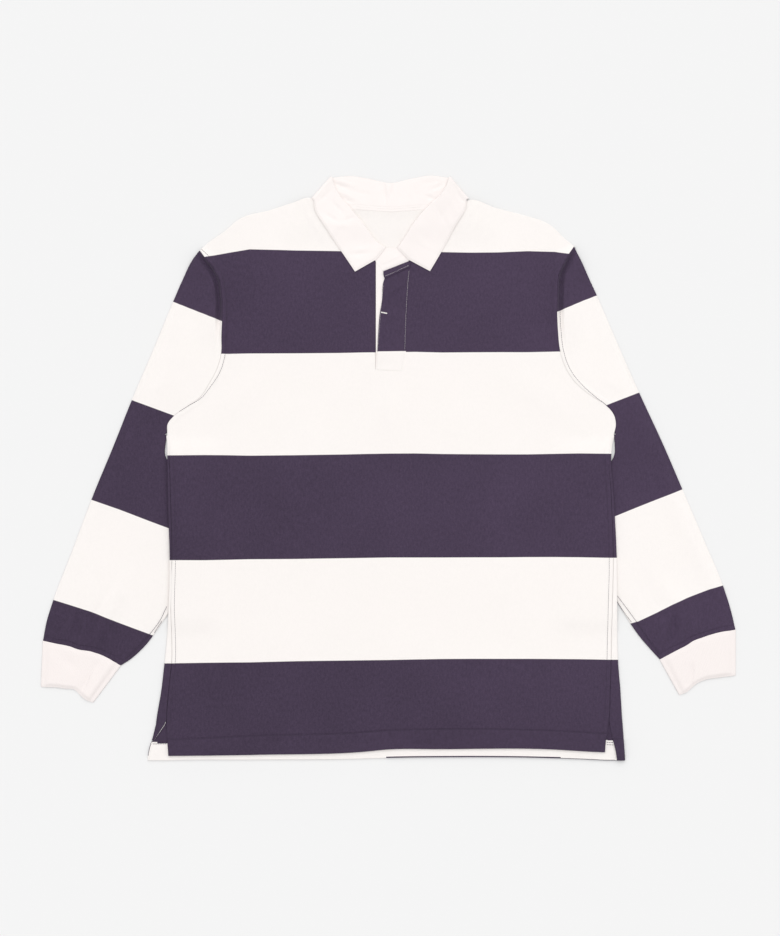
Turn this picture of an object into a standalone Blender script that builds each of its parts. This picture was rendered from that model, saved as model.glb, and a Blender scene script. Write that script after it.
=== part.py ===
"""A long-sleeved rugby shirt, laid out flat on its back with its arms spread.

Sizes and places are millimetres, and the meshes are made in metres. X runs across the shirt towards the
wearer's left, Y runs up towards the collar, and Z runs up off the surface that it lies on, which is Z = 0.
Each piece is a wall of cloth: a grid of points on its one face, the same grid on its other face, and a rim.
The two faces of the body share one grid in plan, so the front is the back's own points, moved up.
"""

import math

import bpy
import numpy as np

MM = 0.001

# Cloth, and the gap that is left between neighbouring pieces.
JERSEY = 1.2
WOVEN = 1.6
RIB = 1.6
TAPE = 1.0
GAP = 0.3
FOLD_INSIDE = GAP / 2

# How high the body is raised where something lies under it.
SLEEVE_STACK = 2 * JERSEY + GAP
TUCK_LIFT = SLEEVE_STACK + GAP
NECK_LIFT = WOVEN + GAP

WHITE = (0.93, 0.88, 0.85)
NAVY = (0.075, 0.052, 0.088)


class Rows:
    """A short table: a name for each column, and a row for each section."""

    def __init__(self, columns, *rows):
        self.rows = np.array(rows, float)
        self.values = dict(zip(columns.split(), self.rows.T))

    def column(self, name):
        return self.values[name]

    def along(self, name, at, by="y"):
        return smooth(self.values[by], self.values[name], at)

    def points(self, name):
        """The plan points of the two columns NAME_x and NAME_y."""
        return np.stack([self.values[name + "_x"], self.values[name + "_y"]], axis=1)


def smooth(knots, values, at):
    """A cubic through every row, whose slope at a row is the weighted mean of the slopes beside it."""
    knots, values = np.asarray(knots, float), np.asarray(values, float)
    at = np.asarray(at, float)
    if knots[0] > knots[-1]:
        knots, values = knots[::-1], values[::-1]
    step = np.diff(knots)
    slope = np.diff(values) / step
    inner = (slope[:-1] * step[1:] + slope[1:] * step[:-1]) / (step[:-1] + step[1:])
    tangent = np.concatenate([slope[:1], inner, slope[-1:]])
    cell = np.clip(np.searchsorted(knots, at) - 1, 0, len(step) - 1)
    t = (at - knots[cell]) / step[cell]
    start = (1 + 2 * t) * (1 - t) ** 2 * values[cell]
    end = t * t * (3 - 2 * t) * values[cell + 1]
    bend = t * (1 - t) * ((1 - t) * tangent[cell] - t * tangent[cell + 1]) * step[cell]
    return start + end + bend


def curve(points, at):
    """Plan points along the smooth curve through points, at shares 0 to 1 of its chord length."""
    points = np.asarray(points, float)
    chord = np.linalg.norm(np.diff(points, axis=0), axis=1)
    share = np.concatenate([[0], np.cumsum(chord)]) / chord.sum()
    return np.stack([smooth(share, points[:, i], at) for i in range(2)], axis=1)


def ramp(value, low, high):
    """0 at low, 1 at high, with an S between."""
    t = np.clip((value - low) / (high - low), 0, 1)
    return t * t * (3 - 2 * t)


def mix(a, b, share):
    return a + (b - a) * share


# -----------------------------------------------------------------------------------------------------------
# The body's outline and seams.

# Its sides, a row for each height: the outline on either hand, and the side seam that the back wraps
# forward to.
SIDES = Rows(
    "y left left_seam right_seam right",
    (-393, -323.2, -294.0, 289.5, 317.2),
    (-376, -321.0, -295.0, 290.1, 316.2),
    (-363, -317.0, -295.8, 291.2, 315.2),
    (-350, -312.8, -296.6, 293.4, 314.4),
    (-336, -311.0, -297.0, 295.2, 313.2),
    (-296, -304.4, -294.2, 296.8, 310.7),
    (-257, -299.9, -290.2, 298.0, 307.6),
    (-222, -296.4, -290.3, 298.6, 306.6),
    (-188, -294.6, -291.3, 299.3, 306.2),
    (-119, -293.0, -289.8, 300.8, 305.6),
    (-41, -295.5, -291.5, 298.2, 301.8),
    (20, -297.2, -293.3, 296.0, 299.6),
    (32, -296.8, -293.6, 297.2, 300.6),
    (45, -298.2, -296.4, 301.6, 303.2),
)

# The free edge of the back where it wraps forward past the top of each side vent.
VENT_EDGES = Rows(
    "y left right",
    (-393, -323.0, 306.3),
    (-376, -320.0, 304.6),
    (-363, -313.5, 302.0),
    (-354, -307.5, 299.6),
    (-345, -300.8, 297.6),
    (-336, -297.3, 295.6),
)

# The bottom of the shirt, a row for each place across it: the edges of the back and of the front, and the
# lines where their turned-up hems end.
HEMS = Rows(
    "x back front back_stitch front_stitch",
    (-322, -391.4, -384.4, -371.0, -363.4),
    (-295, -390.4, -384.2, -370.8, -363.1),
    (-172, -389.4, -382.6, -370.0, -359.1),
    (-38, -388.2, -379.0, -368.0, -352.6),
    (2, -387.0, -375.4, -366.5, -351.4),
    (70, -386.2, -375.1, -365.8, -351.2),
    (204, -387.0, -374.9, -366.6, -353.6),
    (289, -390.4, -379.3, -370.0, -357.9),
    (318, -392.4, -380.0, -371.0, -359.0),
)

# The armholes, a row for each point from the underarm up to the shoulder.
ARMHOLES = Rows(
    "right_x right_y left_x left_y",
    (-296.4, 45, 301.6, 45),
    (-295.6, 61, 304.6, 60),
    (-287.4, 71, 302.6, 71),
    (-269.2, 84, 290.5, 86),
    (-253.1, 95, 276.2, 95),
    (-240.5, 114, 260.6, 106),
    (-229.8, 134, 245.9, 121),
    (-223.9, 156, 235.2, 140),
    (-223.5, 177, 229.8, 158),
    (-222.4, 199, 226.6, 184),
    (-222.5, 230, 225.6, 234),
    (-226.2, 254, 227.3, 259),
    (-235.2, 271, 233.8, 275),
    (-246.0, 283.5, 240.8, 287),
    (-252.5, 292.5, 248.5, 298.0),
)

# The shoulder lines, from the armhole to the neck, where they dip in under the collar.
SHOULDERS = Rows(
    "right_x right_y left_x left_y",
    (-252.5, 292.5, 248.5, 298.0),
    (-243.0, 301.6, 232.6, 311.7),
    (-220.0, 318.2, 221.0, 323.4),
    (-199.0, 335.2, 207.4, 331.8),
    (-157.0, 347.2, 186.8, 338.2),
    (-130.0, 355.9, 143.6, 349.6),
    (-104.0, 362.8, 107.0, 359.6),
    (-88.0, 351.0, 93.0, 350.4),
)

# The neckline of the front, from the top of the placket slot up to the shoulders.
NECKLINES = Rows(
    "right_x right_y left_x left_y",
    (-17.4, 278.0, 27.4, 278.0),
    (-37.0, 293.5, 43.5, 293.5),
    (-56.5, 310.0, 60.0, 309.5),
    (-70.5, 326.0, 75.0, 325.5),
    (-81.0, 340.0, 86.5, 339.5),
    (-88.0, 351.0, 93.0, 350.4),
)

# The back's neck edge between the two neck points.
BACK_NECK = Rows(
    "x y",
    (-88.0, 351.0),
    (-43.0, 352.8),
    (2.5, 349.4),
    (48.0, 352.8),
    (93.0, 350.4),
)

# The placket slot in the front: its straight side, and its other side, which the outer placket covers.
SLOT = Rows(
    "y right_x left_x",
    (45, -17.4, 19.0),
    (90, -17.4, 16.0),
    (134, -17.4, 12.0),
    (182, -17.4, 15.0),
    (230, -17.4, 18.0),
    (278, -17.4, 27.4),
)

# Where the back is raised, each line giving the place where it lies flat and the place where it is at full
# height.
TUCK_ACROSS = (205, 251)
TUCK_TOP = (45, 21)
TUCK_BOTTOM = (-227, -197)
NECK_RISES = (298, 331)
NECK_ACROSS = (165, 113)
BODY_MIDDLE = 1.5

# The front's largest soft folds: the middle of each, its direction in degrees, its size and its height.
FRONT_FOLDS = Rows(
    "x y angle length width rise",
    (-165, 262, 62, 70, 16, 2.4),
    (172, 262, -62, 70, 16, 2.4),
    (-205, 92, 35, 60, 18, 2.0),
    (212, 92, -35, 60, 18, 2.0),
    (0, 82, -84, 36, 16, 1.2),
    (-120, -60, 78, 120, 30, 1.4),
    (150, -130, -80, 130, 30, 1.4),
    (-190, -250, 20, 90, 26, 1.6),
    (120, -262, -12, 110, 26, 1.6),
)

# How the body's grid is spaced: shares of the way in from a side seam to the slot, cells across the slot,
# heights of the rows between the vents and the underarms, and rows up the slot and up the neckline. The rows
# below the shoulder bend towards it by a power of their share of the way up.
ACROSS = (0, 0.035, 0.08, 0.14, 0.22, 0.33, 0.45, 0.58, 0.74, 0.91, 1)
SLOT_CELLS = 4
HEIGHTS = (-336, -316, -290, -257, -232, -213, -196, -178, -150, -119, -85, -50, -15, 20, 32, 45)
VENT_SHARES = (2 / 3, 1 / 3)
SLOT_ROWS = 5
NECK_ROWS = 7
SHOULDER_BEND = 2
BACK_EDGE_OUT = 2.0

# Rows of the grid that the pieces are cut at.
HEM_LINES = ("back", "front", "back_stitch", "front_stitch")
BACK_HEM, FRONT_HEM, BACK_STITCH, FRONT_STITCH = range(4)
VENT_TOP = FRONT_STITCH + 1 + len(VENT_SHARES)
UNDERARM = VENT_TOP + len(HEIGHTS) - 1
SLOT_BOTTOM = UNDERARM + 2
SLOT_TOP = UNDERARM + SLOT_ROWS
NECK_POINT = SLOT_TOP + NECK_ROWS
ROW_COUNT = NECK_POINT + 1

SIDE_CELLS = len(ACROSS) - 1
SLOT_START = 1 + SIDE_CELLS
SLOT_END = SLOT_START + SLOT_CELLS


def armhole_points(side):
    return curve(ARMHOLES.points(side), np.linspace(0, 1, SLOT_ROWS + NECK_ROWS + 1))


def neckline_points(side):
    return curve(NECKLINES.points(side), np.linspace(0, 1, NECK_ROWS + 1))


def back_neck(x):
    return np.interp(x, BACK_NECK.column("x"), BACK_NECK.column("y"))


def back_armhole_out():
    """How far the back runs out past the front at each point of an armhole, to stagger the seams."""
    return BACK_EDGE_OUT * np.sin(np.linspace(0, math.pi, SLOT_ROWS + NECK_ROWS + 1))


def outward_normals(points, hand):
    """Unit vectors square to a line of plan points, on the wearer's right (-1) or left (1)."""
    tangent = np.gradient(points, axis=0)
    tangent /= np.linalg.norm(tangent, axis=1, keepdims=True)
    return hand * np.stack([tangent[:, 1], -tangent[:, 0]], axis=1)


def lift(x, y):
    """How far the back is raised: over each sleeve's tucked part, and over the collar's fall."""
    beside = ramp(abs(x), *TUCK_ACROSS)
    tuck = beside * ramp(y, *TUCK_TOP) * ramp(y, *TUCK_BOTTOM)
    neck = ramp(y, *NECK_RISES) * ramp(abs(x - BODY_MIDDLE), *NECK_ACROSS)
    return TUCK_LIFT * tuck + NECK_LIFT * neck


def folds(table, x, y):
    """The height of a table's soft folds, each a long low mound."""
    height = np.zeros_like(x)
    for middle_x, middle_y, angle, length, width, rise in table.rows:
        cos, sin = math.cos(math.radians(angle)), math.sin(math.radians(angle))
        along = ((x - middle_x) * cos + (y - middle_y) * sin) / length
        across = ((y - middle_y) * cos - (x - middle_x) * sin) / width
        height = height + rise * np.exp(-(along**2) - across**2)
    return height


def body_grid():
    """The plan points that the front and the back share.

    They run by column from the shirt's right, and by row up from its hem.
    """
    heights = np.array(HEIGHTS, float)
    middle = {n: HEMS.column(n).mean() for n in HEM_LINES}
    vent = [mix(heights[0], middle["front_stitch"], share) for share in VENT_SHARES]
    low = np.concatenate([list(middle.values()), vent, heights])
    keys = {}
    for side, seam in (("right", "left_seam"), ("left", "right_seam")):
        lower = np.stack([SIDES.along(seam, low), low], axis=1)
        keys[side] = np.concatenate([lower, armhole_points(side)[1:]])
    for side in ("right", "left"):
        slot_y = np.concatenate([low, SLOT.column("y")[1:]])
        slot_x = SLOT.along(side + "_x", np.maximum(slot_y, SLOT.column("y")[0]))
        slot = np.stack([slot_x, slot_y], axis=1)
        keys[side + "_slot"] = np.concatenate([slot, neckline_points(side)[1:]])

    columns = []
    for share in ACROSS:
        columns.append(mix(keys["right"], keys["right_slot"], share))
    for cell in range(1, SLOT_CELLS):
        columns.append(mix(keys["right_slot"], keys["left_slot"], cell / SLOT_CELLS))
    for share in reversed(ACROSS):
        columns.append(mix(keys["left"], keys["left_slot"], share))
    grid = np.array(columns)

    # The top row follows the shoulders, and the rows below it take up the difference.
    top_rows = np.arange(SLOT_BOTTOM + 1, ROW_COUNT)
    shares = ((top_rows - SLOT_BOTTOM) / (NECK_POINT - SLOT_BOTTOM)) ** SHOULDER_BEND
    for side, which in (("right", slice(0, SIDE_CELLS + 1)), ("left", slice(None, -SIDE_CELLS - 2, -1))):
        shoulder = curve(SHOULDERS.points(side), ACROSS)
        bulge = shoulder - grid[which, NECK_POINT]
        grid[which, top_rows] += bulge[:, None] * shares[None, :, None]

    # The middle of the top row is the back's neck edge.
    middle = slice(SLOT_START, SLOT_END - 1)
    grid[middle, NECK_POINT, 1] = back_neck(grid[middle, NECK_POINT, 0])

    # The hem rows follow the hems.
    for row, name in enumerate(HEM_LINES):
        grid[:, row, 1] = HEMS.along(name, grid[:, row, 0], by="x")
    for step, share in enumerate(VENT_SHARES):
        grid[:, FRONT_STITCH + 1 + step, 1] = mix(heights[0], grid[:, FRONT_STITCH, 1], share)
    return grid


def cloth_count(row, stitch):
    """How many thicknesses of cloth lie in a panel at this row: two in its hem."""
    return np.where(row <= stitch, 2, 1)


# -----------------------------------------------------------------------------------------------------------
# Making a piece.

# Neighbouring faces that meet at more than this angle keep a sharp edge between them.
SHARP_EDGE = math.radians(40)


def material(name, colour, roughness):
    made = bpy.data.materials.new(name)
    made.use_nodes = True
    shader = made.node_tree.nodes["Principled BSDF"]
    shader.inputs["Base Color"].default_value = (*colour, 1)
    shader.inputs["Roughness"].default_value = roughness
    shader.inputs["Metallic"].default_value = 0
    return made


def wall(name, under, over, finish, present=None, ring=False):
    """One closed solid between two grids of points, cut to the cells that are present and rimmed there.

    With ring, the grid's first index runs all the way round, as on a sleeve.
    """
    around, along = under.shape[:2]
    steps = around if ring else around - 1
    if present is None:
        present = np.ones((steps, along - 1), bool)
    index = np.arange(around * along).reshape(around, along)
    i, j = np.nonzero(present)
    following = (i + 1) % around
    corners = np.stack([index[i, j], index[following, j], index[following, j + 1], index[i, j + 1]], axis=1)
    edges = np.concatenate([corners[:, [k, (k + 1) % 4]] for k in range(4)])
    known = set(map(tuple, edges))
    rim = np.array([edge for edge in map(tuple, edges) if edge[::-1] not in known])
    top = corners + around * along
    sides = np.concatenate([rim, rim[:, ::-1] + around * along], axis=1)
    faces = np.concatenate([top, corners[:, [0, 3, 2, 1]], sides])
    points = np.concatenate([under.reshape(-1, 3), over.reshape(-1, 3)]) * MM
    used, faces = np.unique(faces, return_inverse=True)

    mesh = bpy.data.meshes.new(name)
    mesh.from_pydata(points[used].tolist(), [], faces.reshape(-1, 4).tolist())
    mesh.validate()
    mesh.update()
    made = bpy.data.objects.new(name, mesh)
    bpy.context.scene.collection.objects.link(made)
    mesh.materials.append(finish)
    if signed_volume(mesh) < 0:
        mesh.flip_normals()
    mesh.shade_smooth()
    mesh.set_sharp_from_angle(angle=SHARP_EDGE)
    return made


def signed_volume(mesh):
    mesh.calc_loop_triangles()
    points = np.array([v.co for v in mesh.vertices])
    faces = np.array([t.vertices for t in mesh.loop_triangles])
    a, b, c = (points[faces[:, k]] for k in range(3))
    return np.einsum("ij,ij->i", a, np.cross(b, c)).sum() / 6


def at_height(plan, height):
    """Plan points given a height each."""
    return np.concatenate([plan, np.asarray(height)[..., None]], axis=-1)


# -----------------------------------------------------------------------------------------------------------
# The body.

WRAP_TURN = np.radians((45, 90, 135, 180))


def body_heights(grid):
    """The heights of the back's two faces and of the front's two faces, over the shared grid."""
    x, y = grid[..., 0], grid[..., 1]
    row = np.arange(ROW_COUNT)
    back_under = lift(x, y)
    back_over = back_under + JERSEY * cloth_count(row, BACK_STITCH)
    front_under = back_over + GAP
    front_over = front_under + JERSEY * cloth_count(row, FRONT_STITCH)
    soft = folds(FRONT_FOLDS, x, y)
    return back_under, back_over, front_under + soft, front_over + soft


def back_panel(grid, finish):
    """The back: its flat part, and at each side a strip that turns up and forward to the side seam."""
    under, over = body_heights(grid)[:2]
    row = np.arange(ROW_COUNT)
    seam_rows = grid[0, :, 1], grid[-1, :, 1]
    thick = JERSEY * cloth_count(row, BACK_STITCH)
    radius = thick + GAP / 2

    flat_under, flat_over, present = at_height(grid, under), at_height(grid, over), []
    wraps = {}
    for hand, outward in (("left", -1), ("right", 1)):
        y = seam_rows[0] if hand == "left" else seam_rows[1]
        line = grid[0] if hand == "left" else grid[-1]
        past_armhole = np.concatenate([np.zeros(UNDERARM), back_armhole_out()])
        outline = np.where(row < UNDERARM, SIDES.along(hand, y), line[:, 0] + outward * past_armhole)
        first_wrapped = FRONT_STITCH if hand == "left" else BACK_HEM
        wrapped = (row >= first_wrapped) & (row < UNDERARM)
        seam = line[:, 0] + outward * GAP
        free = np.where(row < VENT_TOP, VENT_EDGES.along(hand, y), seam)
        centre = outline - outward * radius * wrapped
        floor = lift(outline, y)
        low_edge = np.stack([centre, y, floor], axis=1)
        faces = []
        for reach in (radius, np.full(ROW_COUNT, FOLD_INSIDE)):
            turned = [
                np.stack([centre + outward * reach * side, y, floor + radius - reach * up], axis=1)
                for side, up in zip(np.sin(WRAP_TURN), np.cos(WRAP_TURN))
            ]
            turned.append(np.stack([free, y, floor + radius + reach], axis=1))
            faces.append(turned)
        low_over = low_edge + np.stack([0 * y, 0 * y, thick], axis=1)
        wraps[hand] = ([low_edge] + faces[0], [low_over] + faces[1], wrapped[:-1] & wrapped[1:])

    left, right = wraps["left"], wraps["right"]
    under_grid = np.array(left[0][::-1] + list(flat_under) + right[0])
    over_grid = np.array(left[1][::-1] + list(flat_over) + right[1])
    turned = len(WRAP_TURN) + 1
    whole = np.ones(ROW_COUNT - 1, bool)
    cells = [left[2]] * turned + [whole] * (len(grid) + 1) + [right[2]] * turned
    return wall("back_panel", under_grid, over_grid, finish, np.array(cells))


def front_panel(grid, finish):
    """The front: the shared grid moved up, less the placket slot and the neck."""
    under, over = body_heights(grid)[2:]
    rows = slice(FRONT_HEM, None)
    present = np.ones((len(grid) - 1, ROW_COUNT - 1), bool)
    present[SLOT_START - 1 : SLOT_END - 1, SLOT_BOTTOM:] = False
    return wall(
        "front_panel",
        at_height(grid, under)[:, rows],
        at_height(grid, over)[:, rows],
        finish,
        present[:, rows],
    )


# -----------------------------------------------------------------------------------------------------------
# The sleeves and cuffs.

# Each sleeve lies as a flattened tube. Its edges run from armhole to cuff: the outer one is a fold, and the
# inner one goes in under the body and comes out again above the cuff.
SLEEVE_OUTER = Rows(
    "right_x right_y left_x left_y",
    (-257.0, 288.6, 252.6, 290.0),
    (-264.3, 277.4, 258.9, 277.4),
    (-276.0, 253.3, 269.7, 253.3),
    (-285.4, 231.8, 275.9, 239.9),
    (-313.4, 164.0, 307.4, 167.0),
    (-346.7, 85.8, 338.6, 96.5),
    (-368.0, 32.2, 368.4, 32.2),
    (-393.0, -28.1, 391.4, -21.4),
    (-423.6, -109.0, 421.5, -92.0),
    (-451.4, -182.2, 450.3, -162.1),
    (-457.6, -202.3, 458.6, -188.9),
    (-463.0, -230.0, 464.8, -214.8),
)
SLEEVE_INNER = Rows(
    "right_x right_y left_x left_y",
    (-297.0, 45.0, 302.2, 45.0),
    (-298.8, 32.0, 303.2, 32.0),
    (-299.6, 20.0, 303.0, 20.0),
    (-288.0, 0.0, 291.0, 0.0),
    (-268.0, -38.0, 272.0, -38.0),
    (-262.0, -80.0, 265.5, -80.0),
    (-268.0, -114.0, 272.0, -114.0),
    (-280.0, -150.0, 287.0, -145.0),
    (-293.7, -191.2, 306.6, -178.0),
    (-305.2, -208.1, 316.9, -195.6),
    (-325.4, -235.8, 337.9, -226.3),
    (-346.4, -255.0, 354.0, -244.6),
    (-358.8, -264.6, 363.6, -255.0),
)

# The seam of each cuff from the outer edge to the inner one, and its free end.
CUFF_RIGHT = Rows(
    "seam_x seam_y end_x end_y",
    (-463.0, -231.0, -466.0, -292.0),
    (-445.0, -234.9, -446.0, -294.8),
    (-429.6, -237.7, -434.0, -297.4),
    (-416.0, -242.6, -416.2, -302.8),
    (-397.2, -246.4, -412.5, -307.7),
    (-377.0, -254.8, -401.0, -313.6),
    (-358.8, -264.6, -396.0, -314.6),
)
CUFF_LEFT = Rows(
    "seam_x seam_y end_x end_y",
    (464.8, -215.8, 465.0, -276.0),
    (445.0, -219.6, 443.3, -279.0),
    (422.2, -226.3, 424.1, -282.6),
    (408.8, -231.0, 413.4, -287.0),
    (399.2, -236.8, 407.0, -293.6),
    (385.8, -243.5, 399.2, -300.4),
    (363.6, -255.0, 389.7, -303.8),
)
SLEEVE_ACROSS = np.linspace(0, 1, 10)
CAP_ROWS = SLOT_ROWS + NECK_ROWS + 1
CAP_SHARE = 0.44
TUBE_SHARES = np.array((0.06, 0.12, 0.2, 0.3, 0.4, 0.5, 0.6, 0.7, 0.8, 0.9, 1))
CUFF_ROWS = 4
SEAM_OUT = 0.6
EDGE_TURN = np.radians((45, 90, 135))

# The rows bend towards the cuff's seam by this power of their share of the way down, and the folds fade out
# from this share of the way across to the inner edge.
CUFF_BEND = 4
FOLDS_FADE = 0.7

# The folds of the upper layers of the sleeves and the cuffs.
SLEEVE_FOLDS = Rows(
    "x y angle length width rise",
    (-372, -190, 68, 46, 12, 2.6),
    (-402, -172, 74, 60, 14, 1.8),
    (-330, 60, 66, 90, 16, 2.0),
    (-392, -276, 55, 34, 9, 3.4),
    (388, -186, -58, 46, 12, 2.4),
    (352, 20, -66, 90, 16, 2.0),
    (420, -120, -64, 80, 15, 1.8),
    (405, -286, -78, 16, 8, 2.6),
)


def flat_tube(upper, lower, thick, soft):
    """The inner and outer faces of a flattened tube, from its upper and lower plan points by row.

    Both layers run from the outer edge to the inner edge, and half rounds join them there.
    """
    radius = thick + GAP / 2
    faces = []
    for reach in (FOLD_INSIDE, radius):
        top = at_height(upper, radius + reach + soft)
        bottom = at_height(lower, np.full(lower.shape[:2], radius - reach))
        ring = list(top)
        for end, layers in ((-1, (top, bottom)), (0, (bottom, top))):
            inward = upper[1 if end == 0 else -2] - upper[end]
            outward = -inward / np.linalg.norm(inward, axis=-1, keepdims=True)
            joined = []
            for turn in EDGE_TURN:
                share = turn / math.pi
                plan = mix(layers[0][end][..., :2], layers[1][end][..., :2], share)
                plan = plan + outward * reach * math.sin(turn)
                middle = mix(layers[0][end][..., 2], layers[1][end][..., 2], (1 - math.cos(turn)) / 2)
                joined.append(at_height(plan, middle))
            ring += joined
            if end == -1:
                ring += list(bottom[::-1])
        faces.append(np.array(ring))
    return faces


def sleeve_plan(side):
    """The two layers' plan points of a sleeve, across from its outer edge and down from the shoulder.

    The first rows end on the armhole, and the rest at the sleeve's inner edge.
    """
    hand = -1 if side == "right" else 1
    armhole = armhole_points(side)[::-1]
    out = back_armhole_out()[::-1, None] * np.array([hand, 0])
    seam_off = SEAM_OUT * outward_normals(armhole[::-1], hand)[::-1]
    tube_shares = CAP_SHARE + (1 - CAP_SHARE) * TUBE_SHARES
    outer_shares = np.concatenate([np.linspace(0, CAP_SHARE, CAP_ROWS), tube_shares])
    outer = curve(SLEEVE_OUTER.points(side), outer_shares)
    inner = curve(SLEEVE_INNER.points(side), TUBE_SHARES)
    cuff_seam = (CUFF_RIGHT if side == "right" else CUFF_LEFT).points("seam")
    cuff_curve = curve(cuff_seam, SLEEVE_ACROSS) - mix(cuff_seam[0], cuff_seam[-1], SLEEVE_ACROSS[:, None])
    tube = np.arange(len(outer)) >= CAP_ROWS - 1
    bend = np.concatenate([np.zeros(CAP_ROWS), TUBE_SHARES]) ** CUFF_BEND
    layers = []
    for start in (armhole + seam_off, armhole + out + seam_off):
        reach = np.concatenate([start, inner])
        across = (reach - outer) / np.linalg.norm(reach - outer, axis=1, keepdims=True)
        first = outer + (JERSEY + FOLD_INSIDE) * across
        last = reach - (JERSEY + FOLD_INSIDE) * across * tube[:, None]
        plan = np.array([mix(first, last, s) for s in SLEEVE_ACROSS])
        layers.append(plan + cuff_curve[:, None] * bend[None, :, None])
    return layers


def sleeve(side, finish):
    upper, lower = sleeve_plan(side)
    away = np.concatenate([ramp(np.linspace(0, 1, CAP_ROWS), 0, 1), np.ones(len(TUBE_SHARES))])
    fade = ramp(SLEEVE_ACROSS, 1, FOLDS_FADE)[:, None]
    soft = folds(SLEEVE_FOLDS, upper[..., 0], upper[..., 1]) * away * fade
    inner, outer = flat_tube(upper, lower, JERSEY, soft)
    present = np.ones((len(inner), inner.shape[1] - 1), bool)
    inner_edge = slice(len(SLEEVE_ACROSS) - 1, len(SLEEVE_ACROSS) + len(EDGE_TURN))
    present[inner_edge, : CAP_ROWS - 1] = False
    return wall("sleeve_" + side, inner, outer, finish, present, ring=True)


def cuff(side, finish):
    """A doubled rib cuff, seamed to its sleeve's end and drawn in towards its free end."""
    table = CUFF_RIGHT if side == "right" else CUFF_LEFT
    start = sleeve_plan(side)[0][:, -1]
    end = curve(table.points("end"), SLEEVE_ACROSS)
    run = end - start
    start = start + SEAM_OUT * run / np.linalg.norm(run, axis=1, keepdims=True)
    plan = np.array([mix(start, end, d) for d in np.linspace(0, 1, CUFF_ROWS)]).transpose(1, 0, 2)
    soft = folds(SLEEVE_FOLDS, plan[..., 0], plan[..., 1])
    inner, outer = flat_tube(plan, plan, RIB, soft)
    return wall("cuff_" + side, inner, outer, finish, ring=True)


# -----------------------------------------------------------------------------------------------------------
# The collar: a strip that runs from one front end round the back to the other. Across it runs the stand, up
# from the neck seam to the fold, and then the fall. At each side of the neck the strip is creased, so its
# front parts lie over its back part, and the fall lies outside the stand there.

COLLAR_RIGHT = Rows(
    "share fold_x fold_y middle_x middle_y outer_x outer_y",
    (0.00, -3.4, 296.3, -16.2, 280.6, -44.9, 264.2),
    (0.20, -17.6, 306.5, -33.0, 296.0, -57.2, 282.6),
    (0.40, -34.2, 329.6, -51.0, 316.5, -70.4, 301.6),
    (0.60, -50.6, 349.0, -67.5, 337.5, -86.0, 325.5),
    (0.80, -65.0, 366.5, -80.5, 357.0, -98.6, 346.5),
    (0.92, -72.8, 381.5, -87.0, 370.5, -103.4, 359.0),
    (1.00, -75.0, 390.2, -86.6, 376.6, -99.3, 361.8),
)
COLLAR_LEFT = Rows(
    "share fold_x fold_y middle_x middle_y outer_x outer_y",
    (0.00, 11.4, 295.6, 26.4, 280.4, 55.6, 264.8),
    (0.20, 20.5, 309.0, 40.5, 296.0, 66.2, 282.6),
    (0.40, 35.8, 333.0, 56.0, 316.5, 77.0, 301.6),
    (0.60, 54.0, 353.0, 71.5, 337.5, 90.0, 326.0),
    (0.80, 70.0, 368.5, 85.5, 357.0, 102.8, 346.0),
    (0.92, 77.8, 381.8, 91.5, 370.5, 107.0, 357.0),
    (1.00, 80.2, 390.2, 91.2, 376.6, 103.4, 361.8),
)
COLLAR_BACK = Rows(
    "share seam_x fold_x fold_y middle_x middle_y outer_x outer_y",
    (0.00, -86.8, -75.0, 390.2, -86.6, 376.6, -99.3, 361.8),
    (0.12, -70.0, -54.0, 392.4, -62.0, 366.0, -72.0, 343.0),
    (0.30, -34.0, -29.0, 389.4, -31.0, 362.0, -33.0, 336.0),
    (0.50, 2.5, 3.0, 383.4, 3.0, 358.0, 3.0, 334.0),
    (0.70, 39.0, 34.0, 389.6, 37.0, 362.0, 39.0, 336.0),
    (0.88, 74.0, 59.0, 393.0, 68.0, 366.0, 78.0, 343.0),
    (1.00, 91.8, 80.2, 390.2, 91.2, 376.6, 103.4, 361.8),
)
LEAF_ROWS = 8
COLLAR_BACK_ROWS = 12
CREASE_TURN = np.radians((30, 60, 90, 120, 150))
STAND_SHARES = (0, 0.5, 1)
FALL_INNER = (0, 0.5)
FALL_OUTER = (0, 0.5, 1)
FOLD_TURN = np.radians((36, 72, 108, 144))
FOLD_MIDDLE = WOVEN + GAP
CREASE_OUT = {"right": np.array([-0.83, 0.56]), "left": np.array([0.83, 0.56])}


def collar_lines(table, rows):
    """The plan lines of a collar table's fold, middle and outer edge."""
    share = np.linspace(0, 1, rows)
    lines = {}
    for name in ("fold", "middle", "outer"):
        x, y = table.along(name + "_x", share, by="share"), table.along(name + "_y", share, by="share")
        lines[name] = np.stack([x, y], axis=1)
    return lines


def leaf_lines(side):
    """The four plan lines of a front part of the collar, from its free end to the crease beside the neck."""
    lines = collar_lines(COLLAR_RIGHT if side == "right" else COLLAR_LEFT, LEAF_ROWS)
    seam = neckline_points(side)
    inward = lines["fold"] - seam
    lines["seam"] = seam + 2 * GAP * inward / np.linalg.norm(inward, axis=1, keepdims=True)
    lines["seam"][-1] = back_lines()["seam"][0 if side == "right" else -1]
    return lines


def back_lines():
    lines = collar_lines(COLLAR_BACK, COLLAR_BACK_ROWS)
    seam_x = COLLAR_BACK.along("seam_x", np.linspace(0, 1, COLLAR_BACK_ROWS), by="share")
    lines["seam"] = np.stack([seam_x, back_neck(seam_x) + 2 * GAP], axis=1)
    return lines


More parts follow.
